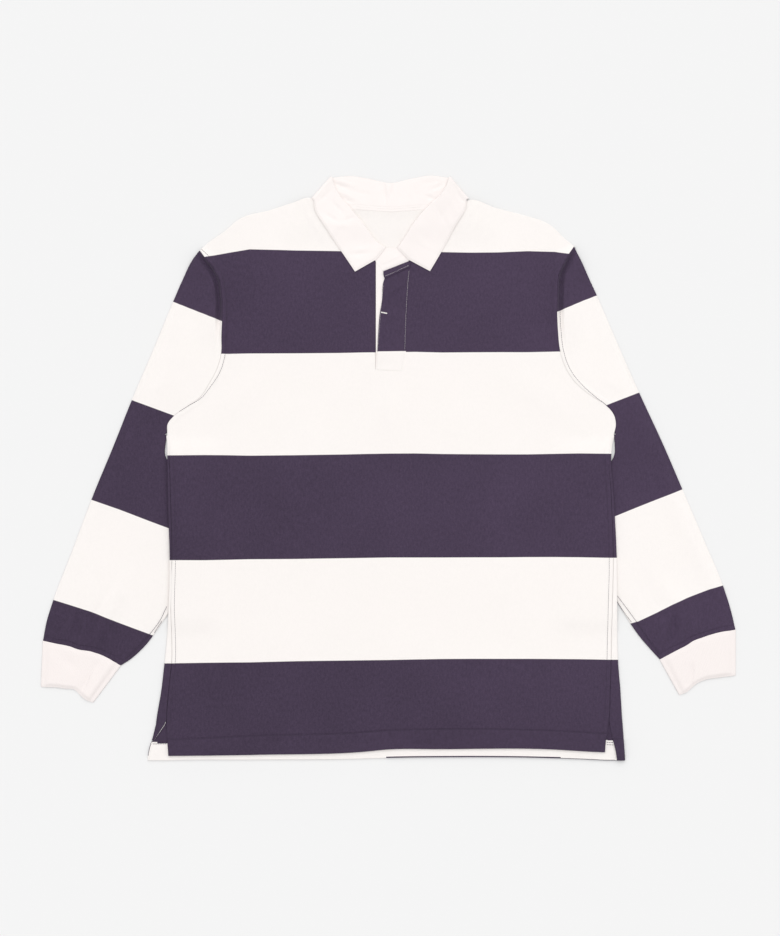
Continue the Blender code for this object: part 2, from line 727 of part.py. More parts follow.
def collar_row(lines, at, reach, turn, crease_out):
    """One row of points across the collar, on the face that lies reach from the middle of the fold's wall.

    turn is 0 on the front parts, pi on the back, and between them at a crease.
    """
    seam, fold, middle, outer = (lines[n][at] for n in ("seam", "fold", "middle", "outer"))
    past = (fold - seam) / np.linalg.norm(fold - seam)
    base = fold - past * (WOVEN + FOLD_INSIDE)
    plan, height = [], []
    for share in STAND_SHARES:
        plan.append(mix(seam, base, share))
        height.append(FOLD_MIDDLE - reach)
    for angle in FOLD_TURN:
        plan.append(base + past * reach * math.sin(angle))
        height.append(FOLD_MIDDLE - reach * math.cos(angle))
    for start, end, shares in ((base, middle, FALL_INNER), (middle, outer, FALL_OUTER)):
        for share in shares:
            plan.append(mix(start, end, share))
            height.append(FOLD_MIDDLE + reach)
    plan, height = np.array(plan), np.array(height)
    placed = plan + crease_out * height[:, None] * math.sin(turn)
    neck = lift(plan[:, 0], plan[:, 1]) / NECK_LIFT
    middle_height = mix(GAP + JERSEY - FOLD_INSIDE, NECK_LIFT * 2 - FOLD_INSIDE, neck)
    return at_height(placed, middle_height + height * math.cos(turn))


def collar_grid(reach):
    """One face of the collar: its right leaf, the crease, the back, the other crease, and its left leaf."""
    rows = []
    for side in ("right", "left"):
        lines = leaf_lines(side)
        part = [collar_row(lines, k, reach, 0, CREASE_OUT[side]) for k in range(LEAF_ROWS)]
        part += [collar_row(lines, -1, reach, turn, CREASE_OUT[side]) for turn in CREASE_TURN]
        rows.append(part)
    lines = back_lines()
    nothing = np.zeros(2)
    back = [collar_row(lines, k, reach, math.pi, nothing) for k in range(COLLAR_BACK_ROWS)]
    return np.array(rows[0] + back + rows[1][::-1])


def collar(finish):
    lining = collar_grid(FOLD_INSIDE)
    skin = collar_grid(FOLD_INSIDE + WOVEN)
    return wall("collar", lining, skin, finish)


# -----------------------------------------------------------------------------------------------------------
# The small pieces of the neck and the placket. Each is a patch between its two sides, a row for each height.

NECKBAND_END = Rows(
    "right_x right_y left_x left_y",
    (-7.0, 265.8, 25.2, 279.0),
    (-11.0, 271.8, 23.8, 280.6),
    (-14.7, 278.2, 20.8, 283.8),
    (-8.6, 287.2, 16.0, 289.0),
    (-2.0, 294.2, 10.0, 293.6),
)
UNDERLAP = Rows(
    "right_x right_y left_x left_y",
    (-17.0, 134.4, 11.6, 134.4),
    (-17.0, 182.0, 14.6, 182.0),
    (-17.0, 230.0, 17.6, 230.0),
    (-17.0, 262.0, 20.2, 262.0),
)
UNDERLAP_TOP = ((-17.0, 276.4), (-15.4, 276.4), (-7.4, 264.0), (3.0, 268.3), (20.8, 275.8))
PLACKET = Rows(
    "right_x right_y left_x left_y",
    (-16.8, 132.4, 18.4, 130.9),
    (-15.1, 158.0, 23.4, 158.0),
    (-14.1, 177.0, 24.2, 177.0),
    (-11.4, 210.4, 25.0, 210.4),
    (-8.7, 226.0, 26.2, 232.0),
    (-7.0, 250.0, 28.4, 262.0),
    (-5.4, 255.0, 28.8, 270.0),
)
PLACKET_BAND = Rows(
    "right_x right_y left_x left_y",
    (-5.4, 255.4, 28.8, 270.4),
    (-6.8, 260.6, 28.4, 274.8),
    (-7.0, 264.7, 27.4, 278.4),
)
BAND_LIFT = WOVEN - JERSEY
BAND_RISE = 0.8
TAPE_WIDTH = 5.4
TAPE_RIGHT = (-44.4, -50.4)
TAPE_LEFT = (44.2, 50.8)


def patch(table):
    """Plan points between a table's two sides, straight across at each of its rows."""
    right, left = table.points("right"), table.points("left")
    return np.array([mix(right, left, k / SLOT_CELLS) for k in range(SLOT_CELLS + 1)])


def raised_patch(name, plan, base, thick, finish):
    """A flat piece whose under face lies base above the surface, and more where the body is raised."""
    floor = base + lift(plan[..., 0], plan[..., 1])
    return wall(name, at_height(plan, floor), at_height(plan, floor + thick), finish)


def neckband_end(finish):
    return raised_patch("neckband_end", patch(NECKBAND_END), JERSEY + GAP, WOVEN, finish)


def placket_underlap(finish):
    plan = patch(UNDERLAP)
    plan = np.concatenate([plan, np.array(UNDERLAP_TOP)[:, None]], axis=1)
    return raised_patch("placket_underlap", plan, JERSEY + GAP, JERSEY, finish)


def placket_outer(finish):
    """The outer strip, with its turned top edge standing a step above the rest."""
    plan = np.concatenate([patch(PLACKET), patch(PLACKET_BAND)], axis=1)
    band = np.concatenate([np.zeros(len(PLACKET.rows)), np.ones(len(PLACKET_BAND.rows))])
    floor = 2 * (JERSEY + GAP) + folds(FRONT_FOLDS, plan[..., 0], plan[..., 1]) + BAND_LIFT * band
    over = floor + JERSEY + BAND_RISE * band
    return wall("placket_outer", at_height(plan, floor), at_height(plan, over), finish)


def neck_tape(finish):
    """A strip along the back's neck edge, whose ends are cut to the slant of the collar's folds."""
    lines = []
    for k, down in enumerate((TAPE_WIDTH, 0)):
        x = np.linspace(TAPE_RIGHT[k], TAPE_LEFT[k], 9)
        lines.append(np.stack([x, back_neck(x) - GAP - down], axis=1))
    plan = np.stack(lines, axis=1)
    return raised_patch("neck_tape", plan, JERSEY + 2 * GAP, TAPE, finish)


def main():
    for old in list(bpy.data.objects):
        bpy.data.objects.remove(old, do_unlink=True)
    striped_jersey = material("striped_jersey", WHITE, 0.9)
    navy_jersey = material("navy_jersey", NAVY, 0.9)
    white_twill = material("white_twill", WHITE, 0.8)
    white_rib = material("white_rib", WHITE, 0.95)

    grid = body_grid()
    back_panel(grid, striped_jersey)
    front_panel(grid, striped_jersey)
    for side in ("right", "left"):
        sleeve(side, striped_jersey)
        cuff(side, white_rib)
    collar(white_twill)
    neckband_end(white_twill)
    neck_tape(white_twill)
    placket_underlap(white_twill)
    placket_outer(navy_jersey)


main()
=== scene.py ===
"""A long-sleeved rugby shirt laid out flat on its back, as a Blender add-on that is run as a script.

The tables and the working sizes are millimetres, and the meshes are made in metres. X runs across the shirt
towards the wearer's left, Y runs up towards the collar, and Z runs up off the surface that it lies on, Z = 0.
"""

import math

import bpy
import numpy as np
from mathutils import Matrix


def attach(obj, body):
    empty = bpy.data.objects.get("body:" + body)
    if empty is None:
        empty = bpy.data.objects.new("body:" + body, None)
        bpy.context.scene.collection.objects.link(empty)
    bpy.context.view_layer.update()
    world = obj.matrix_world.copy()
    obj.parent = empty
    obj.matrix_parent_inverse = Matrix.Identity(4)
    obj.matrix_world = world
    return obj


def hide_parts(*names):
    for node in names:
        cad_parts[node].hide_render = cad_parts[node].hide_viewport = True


bl_info = {
    "name": "Laid-out rugby shirt",
    "version": (1, 0, 0),
    "blender": (4, 5, 0),
    "location": "3D View > Sidebar > Shirt",
    "description": "Dresses the flat pattern pieces of a striped rugby shirt in cloth, seams and stitching",
    "category": "Object",
}

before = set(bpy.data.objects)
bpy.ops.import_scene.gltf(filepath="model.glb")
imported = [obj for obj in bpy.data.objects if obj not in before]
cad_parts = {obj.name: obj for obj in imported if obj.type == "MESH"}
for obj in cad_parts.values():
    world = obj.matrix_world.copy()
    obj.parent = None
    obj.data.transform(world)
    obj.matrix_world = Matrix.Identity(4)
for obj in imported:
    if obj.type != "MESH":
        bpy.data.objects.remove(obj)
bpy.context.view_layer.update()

MM = 0.001


# -----------------------------------------------------------------------------------------------------------
# Settings that a user may change.


def length_setting(name, description, default):
    return bpy.props.FloatProperty(
        name=name, description=description, default=default, min=0, precision=5, unit="LENGTH"
    )


def colour_setting(name, description, default):
    return bpy.props.FloatVectorProperty(
        name=name, description=description, default=default, min=0, max=1, size=3, subtype="COLOR"
    )


class ShirtCloth(bpy.types.PropertyGroup):
    """The sizes of the shirt's cloth and thread."""

    wale: length_setting("Wale", "Width of one column of knitted loops", 0.0011)
    course: length_setting("Course", "Height of one row of knitted loops", 0.0009)
    twill: length_setting("Twill line", "Distance between the slanted lines of the woven collar", 0.0009)
    rib: length_setting("Rib", "Distance between the ribs of the cuffs", 0.0022)
    stitch: length_setting("Stitch", "Length of one stitch with its gap", 0.0031)
    thread: length_setting("Thread", "Width of the thickest sewing thread", 0.0006)


class ShirtColours(bpy.types.PropertyGroup):
    """The colours of the shirt's cloth and thread."""

    white: colour_setting("White jersey", "The pale stripes", (0.925, 0.884, 0.858))
    navy: colour_setting("Navy jersey", "The dark stripes", (0.058, 0.0385, 0.0728))
    collar: colour_setting("Collar", "The woven collar and tape", (0.915, 0.86, 0.839))
    cuff: colour_setting("Cuff", "The ribbed cuffs", (0.857, 0.797, 0.779))
    white_thread: colour_setting("White thread", "Stitching of the placket and collar", (0.86, 0.83, 0.80))
    navy_thread: colour_setting("Navy thread", "Stitching of the seams and hems", (0.052, 0.037, 0.066))


class ShirtStage(bpy.types.PropertyGroup):
    """The surface, the lights and the camera."""

    floor: colour_setting("Floor", "The pale surface under the shirt", (0.795, 0.795, 0.795))
    sky: bpy.props.FloatProperty(
        name="Room light", description="Brightness of the even light all round", default=0.80, min=0
    )
    sun: bpy.props.FloatProperty(
        name="Soft light", description="Brightness of the broad light above", default=1.265, min=0
    )
    sun_spread: bpy.props.FloatProperty(
        name="Soft light's breadth",
        description="How wide the broad light looks from the shirt",
        default=math.radians(75),
        subtype="ANGLE",
    )
    distance: length_setting("Camera height", "Height of the camera above the surface", 2.9627)
    lens: bpy.props.FloatProperty(
        name="Lens",
        description="Focal length of the camera, in millimetres",
        default=85,
        min=1,
        unit="CAMERA",
    )


# -----------------------------------------------------------------------------------------------------------
# Tables and curves.


class Rows:
    """A short table: a name for each column, and a row for each section."""

    def __init__(self, columns, *rows):
        self.rows = np.array(rows, float)
        self.values = dict(zip(columns.split(), self.rows.T))

    def column(self, name):
        return self.values[name]

    def along(self, name, at, by="y"):
        return smooth(self.values[by], self.values[name], at)

    def points(self, name):
        """The plan points of the two columns NAME_x and NAME_y."""
        return np.stack([self.values[name + "_x"], self.values[name + "_y"]], axis=1)


def smooth(knots, values, at):
    """A cubic through every row, whose slope at a row is the weighted mean of the slopes beside it."""
    knots, values = np.asarray(knots, float), np.asarray(values, float)
    at = np.asarray(at, float)
    if knots[0] > knots[-1]:
        knots, values = knots[::-1], values[::-1]
    step = np.diff(knots)
    slope = np.diff(values) / step
    inner = (slope[:-1] * step[1:] + slope[1:] * step[:-1]) / (step[:-1] + step[1:])
    tangent = np.concatenate([slope[:1], inner, slope[-1:]])
    cell = np.clip(np.searchsorted(knots, at) - 1, 0, len(step) - 1)
    t = (at - knots[cell]) / step[cell]
    start = (1 + 2 * t) * (1 - t) ** 2 * values[cell]
    end = t * t * (3 - 2 * t) * values[cell + 1]
    bend = t * (1 - t) * ((1 - t) * tangent[cell] - t * tangent[cell + 1]) * step[cell]
    return start + end + bend


def run_along(points, axis=0):
    """How far each point is from the first one along an axis of a line or a grid of points."""
    step = np.linalg.norm(np.diff(points, axis=axis), axis=-1)
    first = np.zeros_like(np.take(step, [0], axis=axis))
    return np.concatenate([first, np.cumsum(step, axis=axis)], axis=axis)


def curve(points, at):
    """Plan points along the smooth curve through points, at shares 0 to 1 of its chord length."""
    points = np.asarray(points, float)
    far = run_along(points)
    share = far / far[-1]
    return np.stack([smooth(share, points[:, i], at) for i in range(points.shape[1])], axis=1)


def ramp(value, low, high):
    """0 at low, 1 at high, with an S between."""
    t = np.clip((value - low) / (high - low), 0, 1)
    return t * t * (3 - 2 * t)


def mix(a, b, share):
    return a + (b - a) * share


def at_height(plan, height):
    """Plan points given a height each."""
    return np.concatenate([plan, np.broadcast_to(height, plan.shape[:-1])[..., None]], axis=-1)


def unit(vectors):
    return vectors / np.maximum(np.linalg.norm(vectors, axis=-1, keepdims=True), 1e-9)


def distance_to(plan, line):
    """How far each plan point is from a line of plan points."""
    points = plan.reshape(-1, 1, 2)
    start, run = line[:-1], np.diff(line, axis=0)
    share = np.clip(((points - start) * run).sum(-1) / (run**2).sum(-1), 0, 1)
    near = start + run * share[..., None]
    return np.linalg.norm(points - near, axis=-1).min(axis=1).reshape(plan.shape[:-1])


def folds(table, plan):
    """The height of a table's soft folds.

    Each is a long low mound: its rise times exp(-(along / length)^2 - (across / width)^2).
    """
    height = np.zeros(plan.shape[:-1])
    for middle_x, middle_y, angle, length, width, rise in table.rows:
        x, y = plan[..., 0] - middle_x, plan[..., 1] - middle_y
        cos, sin = math.cos(math.radians(angle)), math.sin(math.radians(angle))
        along, across = (x * cos + y * sin) / length, (y * cos - x * sin) / width
        height = height + rise * np.exp(-(along**2) - across**2)
    return height


def fold_table(*rows):
    return Rows("x y angle length width rise", *rows)


def sides_table(*rows):
    """The plan points of a line on the wearer's right, and of its match on the left."""
    return Rows("right_x right_y left_x left_y", *rows)


# -----------------------------------------------------------------------------------------------------------
# The shirt's measured lines, as in its pattern.

JERSEY = 1.2
WOVEN = 1.6
RIB = 1.6
GAP = 0.3
FOLD_INSIDE = GAP / 2
SLEEVE_STACK = 2 * JERSEY + GAP
TUCK_LIFT = SLEEVE_STACK + GAP
NECK_LIFT = WOVEN + GAP

SIDES = Rows(
    "y left left_seam right_seam right",
    (-393, -323.2, -294, 289.5, 317.2),
    (-376, -321, -295, 290.1, 316.2),
    (-363, -317, -295.8, 291.2, 315.2),
    (-350, -312.8, -296.6, 293.4, 314.4),
    (-336, -311, -297, 295.2, 313.2),
    (-296, -304.4, -294.2, 296.8, 310.7),
    (-257, -299.9, -290.2, 298, 307.6),
    (-222, -296.4, -290.3, 298.6, 306.6),
    (-188, -294.6, -291.3, 299.3, 306.2),
    (-119, -293, -289.8, 300.8, 305.6),
    (-41, -295.5, -291.5, 298.2, 301.8),
    (20, -296.2, -293.3, 296, 298.4),
    (32, -296.2, -293.6, 297.2, 299.6),
    (45, -298.2, -296.4, 301.6, 303.2),
)
VENT_EDGES = Rows(
    "y left right",
    (-393, -323, 306.3),
    (-376, -320, 303.8),
    (-363, -313.5, 300.4),
    (-354, -307.5, 298.6),
    (-345, -300.8, 297),
    (-336, -297.3, 295.6),
)
HEMS = Rows(
    "x back front back_stitch front_stitch",
    (-322, -391.4, -384.4, -368.2, -363.4),
    (-295, -390.4, -384.2, -368, -362.8),
    (-172, -389.4, -382.6, -370, -357.6),
    (-38, -388.2, -379, -368, -353.4),
    (2, -387, -375.4, -366.5, -350.4),
    (70, -386.2, -375.1, -365.8, -349),
    (204, -387, -374.9, -366.6, -350.3),
    (289, -390.4, -379.3, -363.4, -354.8),
    (318, -392.4, -380, -364.6, -356.2),
)
ARMHOLES = sides_table(
    (-296.4, 45, 301.6, 45),
    (-295.6, 61, 304.6, 60),
    (-287.4, 71, 302.6, 71),
    (-269.2, 84, 290.5, 86),
    (-253.1, 95, 276.2, 95),
    (-240.5, 114, 260.6, 106),
    (-229.8, 134, 245.9, 121),
    (-223.9, 156, 235.2, 140),
    (-223.5, 177, 229.8, 158),
    (-222.4, 199, 226.6, 184),
    (-222.5, 230, 225.6, 234),
    (-226.2, 254, 227.3, 259),
    (-235.2, 271, 233.8, 275),
    (-246, 283.5, 240.8, 287),
    (-252.5, 292.5, 248.5, 298),
)
SHOULDERS = sides_table(
    (-252.5, 292.5, 248.5, 298),
    (-243, 301.6, 232.6, 311.7),
    (-220, 318.2, 221, 323.4),
    (-199, 335.2, 207.4, 331.8),
    (-157, 347.2, 186.8, 338.2),
    (-130, 355.9, 143.6, 349.6),
    (-104, 362.8, 107, 359.6),
    (-88, 351, 93, 350.4),
)
NECKLINES = sides_table(
    (-17.4, 278, 27.4, 278),
    (-37, 293.5, 43.5, 293.5),
    (-56.5, 310, 60, 309.5),
    (-70.5, 326, 75, 325.5),
    (-81, 340, 86.5, 339.5),
    (-88, 351, 93, 350.4),
)
BACK_NECK = Rows("x y", (-88.0, 351.0), (-43.0, 352.8), (2.5, 349.4), (48.0, 352.8), (93.0, 350.4))
SLOT = Rows(
    "y right_x left_x",
    (45, -17.4, 19),
    (90, -17.4, 16),
    (134, -17.4, 12),
    (182, -17.4, 15),
    (230, -17.4, 18),
    (278, -17.4, 27.4),
)
TUCK_ACROSS = (205, 251)
TUCK_TOP = (45, 21)
TUCK_BOTTOM = (-227, -197)
NECK_RISES = (298, 331)
NECK_ACROSS = (165, 113)
BODY_MIDDLE = 1.5
FRONT_FOLDS = fold_table(
    (-165, 262, 62, 70, 16, 1.2),
    (172, 262, -62, 70, 16, 1.2),
    (-205, 92, 35, 60, 18, 1),
    (212, 92, -35, 60, 18, 1),
    (0, 82, -84, 36, 16, 1.2),
    (-120, -60, 78, 120, 30, 1.4),
    (150, -130, -80, 130, 30, 1.4),
    (-190, -250, 20, 90, 26, 0.8),
    (120, -262, -12, 110, 26, 0.8),
)

# The small creases that show beside the collar, at the underarms and along the placket's foot.
FRONT_CREASES = fold_table(
    (-106, 338, 118, 22, 3.2, 0.7),
    (-97, 322, 112, 18, 3, 0.5),
    (112, 345, 60, 18, 3, 0.8),
    (120, 338, 72, 15, 3, 0.6),
    (-268, 96, 24, 26, 3.5, -0.5),
    (282, 98, -28, 24, 3.5, -0.5),
    (-16, 106, 90, 22, 2.2, -0.25),
    (-262, 30, -58, 30, 6, 0.6),
    (268, 26, 58, 30, 6, 0.6),
    (-238, -300, 78, 46, 8, 0.5),
    (246, -310, -80, 40, 8, 0.5),
    (36, 158, 84, 20, 3, 0.3),
)

# The stripes' edges, from the top one down, each by its height at places across the cloth. Cloth above an odd
# number of them is navy.
BODY_STRIPES = Rows(
    "x first second third fourth fifth",
    (-312, 285, 156.2, 18.2, -122, -260.6),
    (-280, 284.3, 156, 18.4, -122, -260.1),
    (-246, 283.6, 155.4, 18.7, -122.1, -259.5),
    (-216, 289.2, 154.1, 18.5, -121.6, -259.1),
    (-186, 294.3, 154.7, 17.9, -120.9, -258.9),
    (-125, 292.7, 154.9, 18.5, -120.5, -257.4),
    (-65, 291.8, 155.4, 19.4, -119.6, -256.6),
    (-32, 291.3, 156.1, 20.1, -119.1, -256.2),
    (0, 290.8, 156.4, 20.7, -118.6, -255.8),
    (36, 290.5, 156.9, 20.9, -118.6, -255),
    (72, 290.5, 156, 20.1, -118.6, -254.4),
    (110, 289.8, 156.3, 19.8, -118.4, -254.2),
    (149, 290.1, 156.5, 19.6, -118.3, -254.2),
    (186, 291.8, 156.4, 19.6, -118, -254.2),
    (223, 290.8, 157.2, 20.3, -117.9, -254.5),
    (255, 285.7, 157.8, 20.9, -118.1, -254.7),
    (290, 286, 157.8, 20.5, -118.8, -255.3),
    (318, 285, 157.8, 20.3, -118.9, -255.6),
)
RIGHT_SLEEVE_STRIPES = Rows(
    "x first second third fourth fifth",
    (-470, 480, 296.2, 138.5, -16.2, -169.3),
    (-440, 468, 284.3, 127.4, -26.7, -178.1),
    (-400, 452, 268.3, 112.7, -40.6, -190.5),
    (-360, 436, 252.4, 98.2, -54.5, -206.5),
    (-320, 420, 236.4, 83.6, -69.9, -221.5),
    (-280, 404, 220.5, 68.8, -84.8, -235.8),
    (-222, 381, 197.4, 47, -106.3, -256.5),
)
LEFT_SLEEVE_STRIPES = Rows(
    "x first second third fourth fifth",
    (223, 392, 208.9, 57.2, -96.2, -249),
    (260, 408, 224.9, 72.3, -81.1, -232),
    (300, 424, 240.4, 88.7, -64.8, -214),
    (335, 438, 254, 102.2, -50.5, -204.1),
    (360, 448, 263.7, 111.5, -40.6, -192.3),
    (380, 456, 271.4, 119, -32.8, -181.8),
    (400, 464, 279.2, 126.5, -24.9, -172.7),
    (430, 476, 290.8, 137.7, -13.2, -161.1),
    (470, 492, 306.3, 152.6, 2.5, -150),
)
STRIPE_COLUMNS = ("first", "second", "third", "fourth", "fifth")
WHITE_INSIDE = 5.5
STRIPE_HEIGHT = 138.0


def stripe_place(table, plan):
    """How many stripe edges lie above each point, and the share of the next stripe that it has crossed."""
    x, y = plan[..., 0], plan[..., 1]
    lines = [np.interp(x, table.column("x"), table.column(name)) for name in STRIPE_COLUMNS]
    above, below = lines[0] + STRIPE_HEIGHT, lines[-1] - STRIPE_HEIGHT
    lines = [above, *lines, below]
    return -1 + sum(np.clip((a - y) / (a - b), 0, 1) for a, b in zip(lines[:-1], lines[1:]))


# -----------------------------------------------------------------------------------------------------------
# Shader maths.


class Number:
    """A number that varies over a surface: one node's output, whose sums and products add Math nodes."""

    def __init__(self, finish, socket):
        self.finish = finish
        self.socket = socket

    def math(self, operation, *terms, clamp=False):
        settings = {"operation": operation, "use_clamp": clamp}
        return self.finish.number("ShaderNodeMath", settings, dict(enumerate(terms)))

    def __add__(self, other):
        return self.math("ADD", self, other)

    __radd__ = __add__

    def __sub__(self, other):
        return self.math("SUBTRACT", self, other)

    def __rsub__(self, other):
        return self.math("SUBTRACT", other, self)

    def __mul__(self, other):
        return self.math("MULTIPLY", self, other)

    __rmul__ = __mul__

    def __truediv__(self, other):
        return self.math("DIVIDE", self, other)

    def absolute(self):
        return self.math("ABSOLUTE", self)

    def pingpong(self, scale):
        return self.math("PINGPONG", self, scale)

    def sine(self):
        return self.math("SINE", self)

    def clamped(self):
        return self.math("ADD", self, 0.0, clamp=True)


class Finish:
    """A material being made, with a Principled shader."""

    def __init__(self, name, roughness):
        self.material = bpy.data.materials.new(name)
        self.material.use_nodes = True
        self.tree = self.material.node_tree
        self.shader = self.tree.nodes["Principled BSDF"]
        self.feed(self.shader, {"Roughness": roughness, "Specular IOR Level": 0.25})

    def node(self, kind, settings, values):
        """A node of that kind: its settings are set first, and then each socket's value or link."""
        made = self.tree.nodes.new(kind)
        for name, value in settings.items():
            setattr(made, name, value)
        self.feed(made, values)
        return made

    def feed(self, node, values):
        for name, value in values.items():
            if isinstance(value, Number):
                self.tree.links.new(value.socket, node.inputs[name])
            elif isinstance(value, bpy.types.NodeSocket):
                self.tree.links.new(value, node.inputs[name])
            else:
                node.inputs[name].default_value = value

    def number(self, kind, settings, values, output=0):
        return Number(self, self.node(kind, settings, values).outputs[output])

    def attribute(self, name):
        return self.number("ShaderNodeAttribute", {"attribute_name": name}, {}, "Fac")

    def first_two(self, vector):
        split = self.node("ShaderNodeSeparateXYZ", {}, {"Vector": vector})
        return Number(self, split.outputs["X"]), Number(self, split.outputs["Y"])

    def flow(self):
        """The cloth's own two coordinates, in metres: across its wales, and along them."""
        return self.first_two(self.node("ShaderNodeUVMap", {"uv_map": "cloth"}, {}).outputs["UV"])

    def on_object(self):
        return self.node("ShaderNodeTexCoord", {}, {}).outputs["Object"]

    def place(self):
        """Where a point is on the object, across and up."""
        return self.first_two(self.on_object())

    def noise(self, scale, detail=2.0, stretch=(1.0, 1.0, 1.0)):
        """A soft random number around a half, on the object's own coordinates, each packed by stretch."""
        values = {0: self.on_object(), 1: stretch}
        packed = self.node("ShaderNodeVectorMath", {"operation": "MULTIPLY"}, values)
        values = {"Vector": packed.outputs["Vector"], "Scale": scale, "Detail": detail}
        return self.number("ShaderNodeTexNoise", {}, values, "Fac")

    def blend(self, share, first, second):
        """A colour that goes from first to second."""
        made = self.node("ShaderNodeMix", {"data_type": "RGBA"}, {0: share, 6: first, 7: second})
        return made.outputs[2]

    def tint(self, tone, colour, cloth):
        """The colour, from the darkest to the lightest of that cloth's tones."""
        darkest, lightest = TONES[cloth]
        return self.blend(tone, shade(colour, darkest), shade(colour, lightest))

    def colour(self, colour):
        self.feed(self.shader, {"Base Color": colour})

    def relief(self, height, cloth):
        """Turns a height of 0 to 1 into a bump of that cloth's depth."""
        values = {"Height": height, "Distance": DEPTHS[cloth], "Strength": 1.0}
        bump = self.node("ShaderNodeBump", {}, values)
        self.feed(self.shader, {"Normal": bump.outputs["Normal"]})


# Each cloth's darkest and lightest shares of its colour, and the depth of its relief in metres.
TONES = {
    "white": (0.975, 1.02),
    "navy": (0.72, 1.3),
    "twill": (0.965, 1.02),
    "rib": (0.975, 1.012),
    "thread": (0.85, 1.08),
    "floor": (0.998, 1.002),
}
DEPTHS = {"jersey": 0.00022, "twill": 0.00016, "rib": 0.0002, "thread": 0.00004}


def shade(colour, share):
    """That colour made lighter or darker, with its opacity."""
    return (*(min(1.0, c * share) for c in colour), 1.0)


def knit(finish, wale, course):
    """The height of plain knit: each wale has two legs, and each loop's legs slant to meet in a V."""
    across, along = finish.flow()
    from_edge = (across / wale).pingpong(0.5)
    leg = 1 - (from_edge * 4 - 1).absolute()
    loop = 0.5 + 0.5 * ((along / course + from_edge * 1.6) * (2 * math.pi)).sine()
    return leg * (0.55 + 0.45 * loop)


# Painted light: how much the jersey's tones are lightened towards the wearer's left and towards the collar,
# standing in for a gradient of light, in shares of its tones for each metre across and up.
PAINTED_LIGHT_DRIFT = (0.36, 0.42)

# The jersey's mottle, from its speckles to its clouds: how fine each is, how much it is packed up the
# shirt, and its share of the tones.
MOTTLE = Rows(
    "scale detail up share",
    (620, 3, 1, 0.8),
    (380, 2, 0.5, 0.8),
    (9, 2, 1, 0.5),
)

# How far a stripe's edge strays from wale to wale, and how soft it is, in millimetres.
STRIPE_JAG = 0.6
STRIPE_SOFT = 0.5


def jersey(name):
    """Yarn-dyed jersey in wide stripes, with the fine mottle of its loops."""
    cloth, colours = bpy.context.scene.shirt_cloth, bpy.context.scene.shirt_colours
    finish = Finish(name, 0.88)
    loops = knit(finish, cloth.wale, cloth.course)
    place = finish.attribute("stripe")
    across = finish.flow()[0]
    jag = ((across / cloth.wale).pingpong(0.5) - 0.25) * (STRIPE_JAG / STRIPE_HEIGHT)
    feather = STRIPE_SOFT / STRIPE_HEIGHT * math.pi
    navy_share = (((place + jag) * math.pi).sine() / feather + 0.5).clamped()
    noises = [finish.noise(scale, detail, (1.0, up, 1.0)) for scale, detail, up, share in MOTTLE.rows]
    mottle = sum((noise - 0.5) * share for noise, share in zip(noises, MOTTLE.column("share")))
    right, up = finish.place()
    # Painted light: the tone grows lighter across and up the shirt, as though more light fell there.
    painted_light_drift = right * PAINTED_LIGHT_DRIFT[0] + up * PAINTED_LIGHT_DRIFT[1]
    tone = (0.5 + mottle + painted_light_drift + (loops - 0.5) * 0.3).clamped()
    white, navy = finish.tint(tone, colours.white, "white"), finish.tint(tone, colours.navy, "navy")
    finish.colour(finish.blend(navy_share, white, navy))
    finish.relief(loops * 0.7 + noises[0] * 0.3, "jersey")
    finish.feed(finish.shader, {"Sheen Weight": 0.04, "Sheen Roughness": 0.5})
    return finish.material


def twill(name, colour):
    """Woven twill: fine slanted lines, crossed by the threads of the weave."""
    pitch = bpy.context.scene.shirt_cloth.twill
    finish = Finish(name, 0.8)
    across, along = finish.flow()
    slant = ((across + along * 0.6) * (2 * math.pi / pitch)).sine()
    threads = ((along - across * 0.15) * (2 * math.pi / (pitch * 0.62))).sine()
    weave = 0.5 + 0.33 * slant + 0.17 * threads
    cloud = finish.noise(60, 3.0)
    tone = (weave * 0.5 + cloud * 0.5).clamped()
    finish.colour(finish.tint(tone, colour, "twill"))
    finish.relief(weave * 0.7 + cloud * 0.3, "twill")
    return finish.material


def ribbing(name, colour):
    """Knitted rib: soft ridges that run along the cuff, crossed by rows of loops."""
    cloth = bpy.context.scene.shirt_cloth
    finish = Finish(name, 0.92)
    across, along = finish.flow()
    ridge = (across * (math.pi / cloth.rib)).sine().absolute()
    loops = 0.5 + 0.5 * (along * (2 * math.pi / cloth.course)).sine()
    fluff = finish.noise(700, 3.0)
    tone = (ridge * 0.55 + fluff * 0.45).clamped()
    finish.colour(finish.tint(tone, colour, "rib"))
    finish.relief(ridge * 0.7 + ridge * loops * 0.2 + fluff * 0.1, "rib")
    return finish.material


PLY_LENGTH = 0.0007


def thread(name, colour):
    """Sewing thread: two plies that wind along each stitch."""
    finish = Finish(name, 0.6)
    across, along = finish.flow()
    plies = (along * (2 * math.pi / PLY_LENGTH) + across * (2 * math.pi)).sine() * 0.5 + 0.5
    finish.colour(finish.tint(plies, colour, "thread"))
    finish.relief(plies, "thread")
    return finish.material


# -----------------------------------------------------------------------------------------------------------
# Making a piece.


